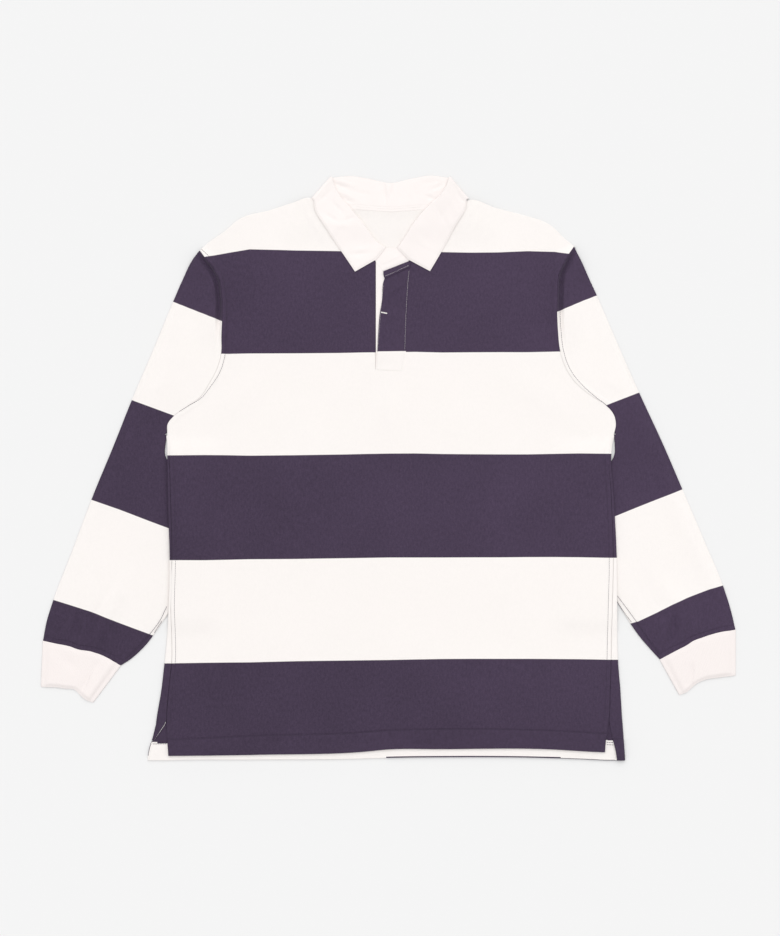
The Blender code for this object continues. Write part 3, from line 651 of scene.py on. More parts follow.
def place_mesh(name, points, faces, flow, finish, stripe=None):
    """An object of a few arrays of faces, each of which holds the corners of faces with as many sides.

    flow holds a cloth coordinate for each corner, and stripe a stripe place for each point.
    """
    mesh = bpy.data.meshes.new(name)
    mesh.vertices.add(len(points))
    mesh.vertices.foreach_set("co", np.asarray(points * MM, np.float32).ravel())
    corners = np.concatenate([group.ravel() for group in faces])
    sides = np.concatenate([np.full(len(group), group.shape[1]) for group in faces])
    mesh.loops.add(len(corners))
    mesh.loops.foreach_set("vertex_index", corners.astype(np.int32))
    mesh.polygons.add(len(sides))
    mesh.polygons.foreach_set("loop_start", (np.cumsum(sides) - sides).astype(np.int32))
    mesh.update(calc_edges=True)
    layer = mesh.uv_layers.new(name="cloth")
    layer.uv.foreach_set("vector", np.asarray(flow * MM, np.float32).ravel())
    if stripe is not None:
        values = mesh.attributes.new("stripe", "FLOAT", "POINT")
        values.data.foreach_set("value", np.asarray(stripe, np.float32).ravel())
    mesh.materials.append(finish)
    mesh.shade_smooth()
    if mesh.validate():
        raise RuntimeError(f"{name} has faces that are not sound")
    made = bpy.data.objects.new(name, mesh)
    bpy.context.scene.collection.objects.link(made)
    return made


ROUND = np.radians((30, 60, 90, 120, 150))

# How far a cut edge is rounded: at most this many times the way to the middles of the faces beside it.
ROUND_REACH = 1.2
SHARPEST = 0.04


def way_inside(face, corners, points, outward):
    """How far each edge point lies outside the mean middle of the faces that meet there."""
    middles = np.zeros_like(face)
    np.add.at(middles, corners, face[corners].mean(axis=1, keepdims=True))
    meeting = np.bincount(corners.ravel(), minlength=len(face))[points, None]
    return ((face[points] - middles[points] / meeting) * outward[points]).sum(axis=1, keepdims=True)


def shell(name, under, over, finish, flow, stripe=None, present=None, ring=False):
    """A closed wall of cloth between two grids of points, whose cut edges are rounded.

    Both grids hold a point for each column and row. Along a cut edge a half ellipse joins the two faces:
    its point at angle t is the middle of the wall, less half the wall times cos t, plus its reach times sin
    t outwards. present says which cells there are. With ring, the columns run all the way round, and flow
    has one column more than the grids. stripe holds the stripe place of the one face, of the other, and of
    the cut edges.
    """
    around, along = under.shape[:2]
    steps = around if ring else around - 1
    if present is None:
        present = np.ones((steps, along - 1), bool)
    count = around * along
    index = np.arange(count).reshape(around, along)
    i, j = np.nonzero(present)
    following = (i + 1) % around
    corners = np.stack([index[i, j], index[following, j], index[following, j + 1], index[i, j + 1]], axis=1)
    corner_flow = np.stack([flow[i, j], flow[i + 1, j], flow[i + 1, j + 1], flow[i, j + 1]], axis=1)
    low, high = under.reshape(-1, 3).copy(), over.reshape(-1, 3).copy()

    starts, ends = corners.ravel(), np.roll(corners, -1, axis=1).ravel()
    cut = ~np.isin(starts * count + ends, ends * count + starts)
    rim = np.stack([starts, ends], axis=1)[cut]
    start_flow = corner_flow.reshape(-1, 2)[cut]
    end_flow = np.roll(corner_flow, -1, axis=1).reshape(-1, 2)[cut]

    first, second, last = (low[corners[:, k]] for k in (0, 1, 3))
    facing = np.sign((np.cross(second - first, last - first) * (high - low)[corners[:, 0]]).sum())
    edge = unit(low[rim[:, 1]] - low[rim[:, 0]])
    through = unit((high - low)[rim].mean(axis=1))
    out = facing * np.cross(edge, through)
    outward = np.zeros((count, 3))
    np.add.at(outward, rim[:, 0], out)
    np.add.at(outward, rim[:, 1], out)
    outward = unit(outward)

    rim_points = np.unique(rim)
    half_wall = np.linalg.norm(high - low, axis=1, keepdims=True)[rim_points] / 2
    room = np.minimum(*(way_inside(face, corners, rim_points, outward) for face in (low, high)))
    reach = outward[rim_points] * np.clip(ROUND_REACH * room, SHARPEST, half_wall)
    low[rim_points] -= reach
    high[rim_points] -= reach
    middle, half = (low + high)[rim_points] / 2, (high - low)[rim_points] / 2
    rounds = [middle - half * math.cos(t) + reach * math.sin(t) for t in ROUND]

    place = np.zeros(count, int)
    place[rim_points] = np.arange(len(rim_points))
    a, b = place[rim[:, 0]], place[rim[:, 1]]
    layers = [(rim[:, 0], rim[:, 1])]
    layers += [(start + a, start + b) for start in 2 * count + len(rim_points) * np.arange(len(ROUND))]
    layers += [(rim[:, 0] + count, rim[:, 1] + count)]
    strips = [
        np.stack([below[0], below[1], above[1], above[0]], axis=1)
        for below, above in zip(layers[:-1], layers[1:])
    ]
    strip_flow = np.stack([start_flow, end_flow, end_flow, start_flow], axis=1)

    turned = [0, 3, 2, 1]
    faces = np.concatenate([corners + count, corners[:, turned], *strips])
    face_flow = np.concatenate([corner_flow, corner_flow[:, turned]] + [strip_flow] * len(strips))
    if facing < 0:
        faces, face_flow = faces[:, turned], face_flow[:, turned]
    points = np.concatenate([low, high, *rounds])
    used, faces = np.unique(faces, return_inverse=True)
    faces = faces.reshape(-1, 4)
    if stripe is not None:
        under_stripe, over_stripe, edge_stripe = (values.ravel() for values in stripe)
        stripe = np.concatenate([under_stripe, over_stripe] + [edge_stripe[rim_points]] * len(ROUND))[used]
    return place_mesh(name, points[used], [faces], face_flow, finish, stripe)


def fit(piece, nodes):
    """Puts a piece of cloth on the shirt, in place of its plain pattern pieces."""
    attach(piece, "root")
    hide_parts(*nodes)


STITCH_SIDES = 5
STITCH_RINGS = Rows(
    "along height radius",
    (0.02, -0.9, 0.5),
    (0.13, 0.15, 1),
    (0.5, 0.4, 1),
    (0.87, 0.15, 1),
    (0.98, -0.9, 0.5),
)


def stitch_row(line, pitch):
    """The start and end of each stitch along a line of points, with a whole number of stitches."""
    far = run_along(line)
    number = max(1, round(far[-1] / pitch))
    at = np.linspace(0, far[-1], number + 1)
    marks = np.stack([np.interp(at, far, line[:, k]) for k in range(3)], axis=1)
    return marks[:-1], marks[1:]


def stitches(name, lines, finish, width=None, pitch=None):
    """One mesh of all the stitches along the given lines of points on the cloth.

    Each stitch is a short round bar whose middle stands over the cloth and whose ends dip into it: its ring
    k is a circle at the table's share of the way along, with the table's height and radius, both in thread
    radii.
    """
    cloth = bpy.context.scene.shirt_cloth
    pitch = pitch or cloth.stitch / MM
    radius = (width or cloth.thread / MM) / 2
    rows = [stitch_row(line, pitch) for line in lines]
    start, end = (np.concatenate([row[k] for row in rows]) for k in range(2))
    run = end - start
    across = unit(np.stack([-run[:, 1], run[:, 0], 0 * run[:, 0]], axis=1))
    up = unit(np.cross(unit(run), across))
    up *= np.sign(up[:, 2:])
    turn = np.linspace(0, 2 * math.pi, STITCH_SIDES, endpoint=False)
    along, height, size = (STITCH_RINGS.column(c)[None, :, None, None] for c in ("along", "height", "radius"))
    centre = start[:, None, None] + run[:, None, None] * along + up[:, None, None] * height * radius
    circle = across[:, None, None] * np.cos(turn)[None, None, :, None]
    circle = circle + up[:, None, None] * np.sin(turn)[None, None, :, None]
    points = centre + circle * size * radius
    number, rings = points.shape[:2]
    index = np.arange(number * rings * STITCH_SIDES).reshape(number, rings, STITCH_SIDES)
    near, far = index[:, :-1], index[:, 1:]
    sides = np.stack([near, np.roll(near, -1, axis=2), np.roll(far, -1, axis=2), far], axis=-1).reshape(-1, 4)
    caps = np.concatenate([index[:, 0, [1, 4, 3, 2]], index[:, -1, [1, 2, 3, 4]]])
    ends = np.concatenate([index[:, 0, [0, 4, 1]], index[:, -1, [0, 1, 4]]])
    faces = [np.concatenate([sides, caps]), ends]
    length = np.linalg.norm(run, axis=1)[:, None] * STITCH_RINGS.column("along")
    around = np.tile(np.arange(STITCH_SIDES) / STITCH_SIDES / MM, number * rings)
    flow = np.stack([around, length.repeat(STITCH_SIDES)], axis=1)
    corners = np.concatenate([group.ravel() for group in faces])
    made = place_mesh(name, points.reshape(-1, 3), faces, flow[corners], finish)
    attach(made, "root")


# -----------------------------------------------------------------------------------------------------------
# The body.

VENT_TOP = -336
UNDERARM = 45
SEAM_STEPS = (0, 0.7, 1.4, 2.2, 3.0, 3.8, 4.6, 5.4, 6.2, 7.2, 8.4, 10, 12, 14.5, 17.5, 21)
HALF_WIDTH = 285.0
UNITS_UP = 12
SLOT_OPENS = 2
NECK_STARTS = 5
BACK_EDGE_OUT = 2.0


def spread_across(step):
    """Shares of the way in from a side seam to the middle slot: fine beside the seam and the slot."""
    near = np.array(SEAM_STEPS) / HALF_WIDTH
    middle = np.arange(SEAM_STEPS[-1] + step, HALF_WIDTH - 6, step) / HALF_WIDTH
    return np.concatenate([near, middle, 1 - np.array((4.5, 2.4, 1.1, 0)) / HALF_WIDTH])


def armhole_line(side, share):
    return curve(ARMHOLES.points(side), share)


def back_neck(x):
    return np.interp(x, BACK_NECK.column("x"), BACK_NECK.column("y"))


def lift(x, y):
    """How far the back is raised off the surface, over the sleeves' tucked parts and the collar's fall."""
    beside = ramp(abs(x), *TUCK_ACROSS)
    tuck = beside * ramp(y, *TUCK_TOP) * ramp(y, *TUCK_BOTTOM)
    neck = ramp(y, *NECK_RISES) * ramp(abs(x - BODY_MIDDLE), *NECK_ACROSS)
    return TUCK_LIFT * tuck + NECK_LIFT * neck


HEM_SHARES = np.array((0, 0.03, 0.08, 0.16, 0.3, 0.45, 0.6, 0.75, 0.86, 0.93, 0.97, 1))
ABOVE_HEM = np.array((0.5, 1.0, 1.6, 2.4, 4.0, 7.0))
SLOT_CELLS = 10

# Each panel's grid: the distance between its rows and columns, and its rows for each unit up the armhole.
FRONT_STEP, FRONT_ROWS = 4.4, 10
BACK_STEP, BACK_ROWS = 5.2, 6


def body_grid(edge, stitch, step, per_unit):
    """A panel's plan points, by column from the shirt's right and by row up from its hem.

    A row is straight from the side seam or armhole to the middle slot or neckline, across the slot, and out
    again. Its ends go up by the armhole's length, while the slot and the neckline go up by their own
    tables. The row at the top is the shoulder line and the back's neck edge, and the rows below bend
    towards it by the square of their share of the way up.
    """
    edge_y, stitch_y = HEMS.column(edge).mean(), HEMS.column(stitch).mean()
    vent = np.concatenate([stitch_y + ABOVE_HEM, [mix(stitch_y, VENT_TOP, 0.8)]])
    side = np.concatenate([np.arange(VENT_TOP, UNDERARM, step), [UNDERARM]])
    low = np.concatenate([mix(edge_y, stitch_y, HEM_SHARES), vent, side])
    units = np.arange(1, UNITS_UP * per_unit + 1) / per_unit
    keys = {}
    for side, seam in (("right", "left_seam"), ("left", "right_seam")):
        lower = np.stack([SIDES.along(seam, low), low], axis=1)
        keys[side] = np.concatenate([lower, armhole_line(side, units / UNITS_UP)])
        slot_y = np.interp(units[units <= NECK_STARTS], np.arange(NECK_STARTS + 1), SLOT.column("y"))
        slot_y = np.concatenate([low, slot_y])
        slot_x = SLOT.along(side + "_x", np.maximum(slot_y, SLOT.column("y")[0]))
        slot = np.stack([slot_x, slot_y], axis=1)
        neck_share = (units[units > NECK_STARTS] - NECK_STARTS) / (UNITS_UP - NECK_STARTS)
        neck = curve(NECKLINES.points(side), neck_share)
        keys[side + "_slot"] = np.concatenate([slot, neck])
    across = spread_across(step)
    columns = [mix(keys["right"], keys["right_slot"], share) for share in across]
    columns += [mix(keys["right_slot"], keys["left_slot"], k / SLOT_CELLS) for k in range(1, SLOT_CELLS)]
    columns += [mix(keys["left"], keys["left_slot"], share) for share in across[::-1]]
    grid = np.array(columns)

    share = np.zeros(grid.shape[1])
    share[len(low) :] = np.clip((units - SLOT_OPENS) / (UNITS_UP - SLOT_OPENS), 0, 1) ** 2
    top = grid[:, -1].copy()
    top[: len(across)] = curve(SHOULDERS.points("right"), across)
    top[-len(across) :] = curve(SHOULDERS.points("left"), across)[::-1]
    inside = slice(len(across), -len(across))
    top[inside, 1] = back_neck(top[inside, 0])
    grid += (top - grid[:, -1])[:, None] * share[None, :, None]

    hem_rows = len(HEM_SHARES)
    edge_line, stitch_line = (hem_line(name, grid[:, 0, 0]) for name in (edge, stitch))
    grid[:, :hem_rows, 1] = mix(edge_line[:, None], stitch_line[:, None], HEM_SHARES[None])
    above = (vent - stitch_y) / (VENT_TOP - stitch_y)
    grid[:, hem_rows : hem_rows + len(vent), 1] = mix(stitch_line[:, None], VENT_TOP, above[None])
    return grid, len(low), len(across), units


# How deep the front's hem stitching draws the upper face in.
HEM_GROOVE = 1.5


def hem_line(name, x):
    return HEMS.along(name, x, by="x")


def hem_layers(x, y, stitch):
    """2 where the hem is turned up, and 1 above its stitching."""
    return 2 - ramp(y - hem_line(stitch, x), -0.3, 1.5)


def seam_lines():
    """The front's seams, from each vent up the side and round the armhole to the shoulder."""
    heights = np.linspace(VENT_TOP, UNDERARM - 1, 90)
    lines = []
    for side, seam in (("right", "left_seam"), ("left", "right_seam")):
        lower = np.stack([SIDES.along(seam, heights), heights], axis=1)
        lines.append(np.concatenate([lower, armhole_line(side, np.linspace(0, 1, 90))]))
    return lines


# The raised edge of the body along the top of each armhole, the sleeve's puff beside it, and where both end.
ARMHOLE_RISE = 6.5
ARMHOLE_SOFT = 9.0
ARMHOLE_STEEP = (4.2, 0.4)
SLEEVE_PUFF = 4.0
PUFF_STARTS = (5.0, 10.0)
PUFF_ENDS = (42, 12)
ARMHOLE_LOW = (150, 208)
ARMHOLE_HIGH = (304, 276)

# Where the ridge of the left seam's allowance changes over from the body to the sleeve, and where it ends
# there.
LEFT_RIDGE_ENDS = (62, 36)
SLEEVE_RIDGE_STARTS = (30, 50)
SLEEVE_RIDGE_ENDS = (215, 180)


def armhole_share(y):
    return ramp(y, *ARMHOLE_LOW) * ramp(y, *ARMHOLE_HIGH)


SEAM_RIDGE = 0.5
RIDGE_STARTS = (0.3, 1.8)
RIDGE_ENDS = (7.4, 5.0)


def seam_ridge(away):
    """The height of a seam's allowance under the cloth, by the distance from the seam."""
    return SEAM_RIDGE * ramp(away, *RIDGE_STARTS) * ramp(away, *RIDGE_ENDS)


def front_relief(plan):
    """How far the front stands over its flat lie: its folds, and the allowance beside its seams."""
    height = folds(FRONT_FOLDS, plan) + folds(FRONT_CREASES, plan)
    from_right, from_left = (distance_to(plan, line) for line in seam_lines())
    height = height + seam_ridge(from_right) + seam_ridge(from_left) * ramp(plan[..., 1], *LEFT_RIDGE_ENDS)
    away = np.minimum(from_right, from_left)
    return height + ARMHOLE_RISE * np.exp(-((away / ARMHOLE_SOFT) ** 2)) * armhole_share(plan[..., 1])


def back_over(plan):
    x, y = plan[..., 0], plan[..., 1]
    return lift(x, y) + JERSEY * hem_layers(x, y, "back_stitch")


def front_faces(plan):
    """The heights of the front's two faces."""
    x, y = plan[..., 0], plan[..., 1]
    under = back_over(plan) + GAP + front_relief(plan)
    groove = HEM_GROOVE * np.exp(-((y - hem_line("front_stitch", x)) ** 2))
    return under, under + JERSEY * hem_layers(x, y, "front_stitch") - groove


def on_front(line):
    """A plan line laid on the front's outer face."""
    return at_height(line, front_faces(line)[1])


def make_front():
    grid, low_rows, side_columns, units = body_grid("front", "front_stitch", FRONT_STEP, FRONT_ROWS)
    under, over = front_faces(grid)
    present = np.ones((len(grid) - 1, grid.shape[1] - 1), bool)
    opens = low_rows + int(np.searchsorted(units, SLOT_OPENS))
    present[side_columns - 1 : 1 - side_columns, opens:] = False
    place = stripe_place(BODY_STRIPES, grid)
    white_hem = grid[..., 1] < hem_line("front_stitch", grid[..., 0]) - 0.2
    white_hem &= grid[..., 1] > hem_line("front", grid[..., 0]) + 0.9
    inner = np.where(white_hem, WHITE_INSIDE, place)
    faces = at_height(grid, under), at_height(grid, over)
    piece = shell("front_cloth", *faces, jersey("front_jersey"), grid, (inner, place, place), present)
    fit(piece, ["front_panel"])


WRAP_TURN = np.radians(np.arange(15, 181, 15))
WRAP_SHARES = np.array((0.35, 0.7, 0.9, 1))
WRAP_SOFT = 1.6
FLAT_SHARES = (0.2, 0.4, 0.52, 0.58, 0.75, 0.9)

# How far down each side wraps forward.
WRAP_ENDS = {"left": -364, "right": -400}

# Where the white of the back's inside shows: its facing at the picture's left vent, that side's piping and
# the rim below it, and the bottom edge, up to where that turns navy. There the navy comes round over the
# turned-up hem.
FACING_TOP = -366
FACING_ACROSS = (-321, -309.5)
PIPING = (-362, -338)
RIM_TOP = -386
BOTTOM_TOP = -384
BOTTOM_TURNS = -6
WHITE_FROM = -1.0
NAVY_ROUND = 1.8


def back_stripes(plan):
    """The stripe places of the back's two faces: outside, and inside with its white hem and vent facing."""
    x, y = plan[..., 0], plan[..., 1]
    outside = stripe_place(BODY_STRIPES, plan)
    line = hem_line("back_stitch", x)
    bottom = hem_line("back", x) + np.where(x < BOTTOM_TURNS, WHITE_FROM, NAVY_ROUND)
    turned_up = (y < line + 0.1) & (y > bottom)
    facing = (y < FACING_TOP) & (x > FACING_ACROSS[0]) & (x < FACING_ACROSS[1])
    return outside, np.where(turned_up | facing, WHITE_INSIDE, outside)


def make_back():
    """The back: its flat part, and at each side a strip that turns up and forward to the side seam.

    The turn's point at angle t is its centre, plus the reach and the edge's softness times sin t outwards,
    and less the reach times cos t up.
    """
    grid, low_rows, _, units = body_grid("back", "back_stitch", BACK_STEP, BACK_ROWS)
    rows = np.arange(grid.shape[1])
    floor, over = lift(grid[..., 0], grid[..., 1]), back_over(grid)
    flat_under, flat_over = at_height(grid, floor), at_height(grid, over)
    outside, inside = back_stripes(grid)
    past = BACK_EDGE_OUT * np.sin(units / UNITS_UP * math.pi)
    sheets = {}
    for hand, outward, line in (("left", -1, grid[0]), ("right", 1, grid[-1])):
        y = line[:, 1]
        thick = JERSEY * hem_layers(line[:, 0], y, "back_stitch")
        radius = thick + GAP / 2
        outline = np.where(rows < low_rows, SIDES.along(hand, y), 0)
        outline[low_rows:] = line[low_rows:, 0] + outward * past
        wrapped = (rows < low_rows) & (y > WRAP_ENDS[hand])
        free = np.where(y < VENT_TOP, VENT_EDGES.along(hand, y), line[:, 0] + outward * GAP)
        centre = outline - outward * (radius + WRAP_SOFT) * wrapped
        base = lift(outline, y)
        columns_under, columns_over = [], []
        for share in (*FLAT_SHARES, 1):
            x = mix(line[:, 0], centre, share)
            floor = mix(lift(line[:, 0], y), base, share)
            columns_under.append(np.stack([x, y, floor], axis=1))
            columns_over.append(np.stack([x, y, floor + thick], axis=1))
        for angle in WRAP_TURN:
            for reach, columns in ((radius, columns_under), (np.full(len(rows), FOLD_INSIDE), columns_over)):
                x = centre + outward * (reach + WRAP_SOFT) * math.sin(angle)
                columns.append(np.stack([x, y, base + radius - reach * math.cos(angle)], axis=1))
        for share in WRAP_SHARES:
            x = mix(centre, free, share)
            columns_under.append(np.stack([x, y, base + 2 * radius], axis=1))
            columns_over.append(np.stack([x, y, base + radius + FOLD_INSIDE], axis=1))
        under, top = np.array(columns_under), np.array(columns_over)
        place, inner = back_stripes(under)
        edge = place.copy()
        if hand == "left":
            edge[:, y < RIM_TOP] = WHITE_INSIDE
            edge[-1, (y > PIPING[0]) & (y < PIPING[1])] = WHITE_INSIDE
        sheets[hand] = (under, top, wrapped[:-1] & wrapped[1:], place, inner, edge)
    bottom_white = (grid[..., 1] < BOTTOM_TOP) & (grid[..., 0] < BOTTOM_TURNS)
    edges = np.where(bottom_white, WHITE_INSIDE, outside)
    left, right = sheets["left"], sheets["right"]
    join = lambda k, middle: np.concatenate([left[k][::-1], middle, right[k]])
    under, top = join(0, flat_under), join(1, flat_over)
    place, inner, edge = join(3, outside), join(4, inside), join(5, edges)
    flat = len(FLAT_SHARES) + 1
    turned = len(left[0]) - flat
    whole = np.ones(grid.shape[1] - 1, bool)
    present = np.array([left[2]] * turned + [whole] * (len(grid) + 2 * flat - 1) + [right[2]] * turned)
    flow = np.stack([run_along(under), under[..., 1]], axis=-1)
    piece = shell("back_cloth", under, top, jersey("back_jersey"), flow, (place, inner, edge), present)
    fit(piece, ["back_panel"])


# -----------------------------------------------------------------------------------------------------------
# The sleeves and cuffs.

SLEEVE_OUTER = sides_table(
    (-257, 288.6, 252.6, 290),
    (-264.3, 277.4, 258.9, 277.4),
    (-276, 253.3, 269.7, 253.3),
    (-285.4, 231.8, 275.9, 239.9),
    (-313.4, 164, 307.4, 167),
    (-346.7, 85.8, 338.6, 96.5),
    (-368, 32.2, 368.4, 32.2),
    (-393, -28.1, 391.4, -21.4),
    (-423.6, -109, 421.5, -92),
    (-451.4, -182.2, 450.3, -162.1),
    (-457.6, -202.3, 458.6, -188.9),
    (-463, -230, 464.8, -214.8),
)
SLEEVE_INNER = sides_table(
    (-297, 45, 302.2, 45),
    (-298.8, 32, 303.2, 32),
    (-299.6, 20, 303, 20),
    (-288, 0, 291, 0),
    (-268, -38, 272, -38),
    (-262, -80, 265.5, -80),
    (-268, -114, 272, -114),
    (-280, -150, 287, -145),
    (-293.7, -191.2, 306.6, -178),
    (-305.2, -208.1, 316.9, -195.6),
    (-325.4, -235.8, 337.9, -226.3),
    (-346.4, -255, 354, -244.6),
    (-358.8, -262.8, 363.6, -255),
)
CUFF_RIGHT = Rows(
    "seam_x seam_y end_x end_y",
    (-463, -231, -465.6, -291),
    (-445, -234.9, -446, -292.2),
    (-429.6, -237.7, -434, -294),
    (-416, -242.4, -419.4, -296.4),
    (-397.2, -245.4, -411.4, -303.4),
    (-377, -252.8, -402, -310.6),
    (-358.8, -262.8, -396, -313),
)
CUFF_LEFT = Rows(
    "seam_x seam_y end_x end_y",
    (464.8, -215.8, 465, -276),
    (445, -219.2, 443.3, -279),
    (422.2, -225.9, 424.1, -282.6),
    (408.8, -230.6, 413.4, -287),
    (399.2, -236.8, 404.4, -293.6),
    (385.8, -243.5, 396.8, -300),
    (363.6, -255, 389.7, -303),
)
CUFFS = {"right": CUFF_RIGHT, "left": CUFF_LEFT}
SLEEVE_STRIPES = {"right": RIGHT_SLEEVE_STRIPES, "left": LEFT_SLEEVE_STRIPES}
CAP_SHARE = 0.44
CAP_ROWS = 70
TUBE_SHARES = np.concatenate([np.linspace(0, 0.93, 70)[1:], np.linspace(0.935, 1, 27)])
TUBE_ROWS = len(TUBE_SHARES)
SLEEVE_COLUMNS = np.concatenate(
    [[0, 0.008, 0.02], np.linspace(0.04, 0.8, 34), np.linspace(0.815, 0.995, 19), [1]]
)
SEAM_OUT = 0.15
EDGE_SOFT = 2.0
EDGE_TURN = np.radians((22.5, 45, 67.5, 90, 112.5, 135, 157.5))
SLEEVE_FOLDS = fold_table(
    (-372, -190, 68, 46, 12, 2.6),
    (-402, -172, 74, 60, 14, 1.8),
    (-330, 60, 66, 90, 16, 2),
    (388, -186, -58, 46, 12, 2.4),
    (352, 20, -66, 90, 16, 2),
    (420, -120, -64, 80, 15, 1.8),
)

# Smaller creases: by the underarms, above the cuffs, and in the cuffs' ribbing.
SLEEVE_CREASES = fold_table(
    (-384, -180, 62, 30, 5, -0.9),
    (-357, -186, -42, 14, 4, -0.7),
    (-304, -165, 66, 34, 4, -0.6),
    (-368, -196, 70, 7, 3, -1),
    (-388, -184, 88, 12, 2.6, -0.7),
    (-417, -206, 84, 15, 3.2, -2.3),
    (-428, -214, 80, 17, 5.5, 2.4),
    (-407, -212, 84, 16, 5, 1.9),
    (-380, -228, 80, 15, 3.2, -1.9),
    (-390, -226, 80, 15, 5, 1.8),
    (-371, -232, 78, 14, 4.5, 1.3),
    (357, -177, -65, 16, 3, -0.8),
    (340, -172, -60, 18, 3, -0.6),
    (381.5, -211, 82, 22, 3.8, -3.3),
    (393, -208, 78, 20, 6.5, 2.8),
    (369, -214, 80, 20, 6, 2.3),
    (423, -200, 78, 11, 3, -1.5),
    (432, -198, 80, 14, 4.5, 1),
    (353, -228, -70, 14, 3.4, -0.9),
    (404, -196, -66, 24, 5, 0.7),
    (-312, 108, 20, 40, 6, 0.4),
    (306, 112, -20, 40, 6, 0.4),
)


# How deep a sleeve dips beside the body that lies over it.
BODY_DIP = 1.3

# The stitched line along a sleeve's end: how far it is from the cuff's seam, its depths, and its half width.
BAND_AWAY = 6.2
BAND_DEPTH = 0.9
BAND_DEEPEST = 1.1
BAND_WIDTH = 1.2
BAND_DENTS = fold_table(
    (-417, -233, -38, 6, 5, 0.7),
    (-398, -239, -20, 16, 6, 0.4),
    (422, -216, 24, 11, 6, 0.7),
    (395, -227, 30, 12, 6, 0.5),
)

# How much a sleeve and a cuff are flattened along their folded edges, and a cuff at its free end.
SLEEVE_PRESS = 0.25
CUFF_PRESS = 0.42
END_PRESS = 0.62

# Across a sleeve, where its folds fade out and where it is flattened, and how far down the inner edge that
# starts.
FOLDS_OUTER, FOLDS_INNER = (0, 0.05), (1, 0.7)
PRESS_OUTER, PRESS_INNER = (0.07, 0), (0.85, 1)
PRESS_SHOWN = (0.5, 0.7)


def sleeve_plan(side):
    """The plan points of a sleeve's upper and lower layers, across from its outer edge and down it.

    A row is straight from the outer edge to the armhole, or below the underarm to the inner edge, and the
    rows bend towards the cuff's seam by the fourth power of their share of the way down.
    """
    hand = -1 if side == "right" else 1
    cap = np.linspace(0, 1, CAP_ROWS)
    armhole = armhole_line(side, 1 - cap)
    tangent = unit(np.gradient(armhole[::-1], axis=0))
    seam_off = SEAM_OUT * hand * np.stack([tangent[:, 1], -tangent[:, 0]], axis=1)[::-1]
    out = BACK_EDGE_OUT * np.sin(math.pi * cap)[:, None] * np.array([hand, 0])
    tube = TUBE_SHARES
    outer = curve(SLEEVE_OUTER.points(side), np.concatenate([CAP_SHARE * cap, mix(CAP_SHARE, 1, tube)]))
    inner = curve(SLEEVE_INNER.points(side), tube)
    seam = CUFFS[side].points("seam")
    sag = curve(seam, SLEEVE_COLUMNS) - mix(seam[0], seam[-1], SLEEVE_COLUMNS[:, None])
    bend = np.concatenate([np.zeros(CAP_ROWS), tube]) ** 4
    folded = np.concatenate([ramp(cap, 0.985, 1), np.ones(TUBE_ROWS)])
    inset = JERSEY + FOLD_INSIDE + EDGE_SOFT
    layers = []
    for start in (armhole + seam_off, armhole + out + seam_off):
        reach = np.concatenate([start, inner])
        across = unit(reach - outer)
        first = outer + inset * across
        last = reach - inset * across * folded[:, None]
        plan = first + (last - first) * SLEEVE_COLUMNS[:, None, None]
        layers.append(plan + sag[:, None] * bend[None, :, None])
    return layers


def flat_tube(upper, lower, thick, relief, groove, pressed):
    """The inner and outer faces of a flattened tube, from its upper and lower plan points.

    Both layers run from the outer edge to the inner edge. Half of an ellipse joins them there: its point at
    angle t goes out by the wall's reach and the edge's softness times sin t, and round from one layer's
    height to the other's. groove is cut into the upper layer's outer face, and every height is less by its
    share in pressed.
    """
    radius = thick + GAP / 2
    faces = []
    for reach in (FOLD_INSIDE, radius):
        top_height = radius + reach + relief - groove * (reach == radius)
        top = at_height(upper, top_height * (1 - pressed))
        bottom = at_height(lower, (radius - reach) * (1 - pressed))
        ends = []
        for end, before, layers in ((-1, -2, (top, bottom)), (0, 1, (bottom, top))):
            outward = -unit(upper[before] - upper[end])
            joined = []
            for turn in EDGE_TURN:
                plan = mix(layers[0][end][..., :2], layers[1][end][..., :2], turn / math.pi)
                plan = plan + outward * (reach + EDGE_SOFT) * math.sin(turn)
                height = mix(layers[0][end][..., 2], layers[1][end][..., 2], (1 - math.cos(turn)) / 2)
                joined.append(at_height(plan, height))
            ends.append(np.array(joined))
        faces.append(np.concatenate([top, ends[0], bottom[::-1], ends[1]]))
    return faces


def tube_flow(outer):
    """Cloth coordinates round a tube and along it, with the last column closing the round."""
    closed = np.concatenate([outer, outer[:1]])
    across = run_along(closed)
    across -= across[SLEEVE_COLUMNS.size // 2]
    along = np.broadcast_to(run_along(closed, axis=1).mean(axis=0), across.shape)
    return np.stack([across, -along], axis=-1)



def sleeve_folds(plan):
    return folds(SLEEVE_FOLDS, plan) + folds(SLEEVE_CREASES, plan)


def sleeve_seam(side):
    return seam_lines()[0 if side == "right" else 1]


def sleeve_relief(side, plan):
    """How far a sleeve's upper layer stands over its flat lie, beside its seams and the body's edge."""
    y = plan[..., 1]
    away = distance_to(plan, sleeve_seam(side))
    rise = ARMHOLE_RISE * ramp(away, *ARMHOLE_STEEP)
    puff = SLEEVE_PUFF * ramp(away, *PUFF_STARTS) * ramp(away, *PUFF_ENDS)
    height = (rise + puff) * armhole_share(y)
    if side == "left":
        height = height + seam_ridge(away) * ramp(y, *SLEEVE_RIDGE_STARTS) * ramp(y, *SLEEVE_RIDGE_ENDS)
    else:
        heights = np.linspace(-190, 36, 60)
        body = np.stack([SIDES.along("left", heights), heights], axis=1)
        height = height - BODY_DIP * np.exp(-((distance_to(plan, body) / 3.6) ** 2))
    return height


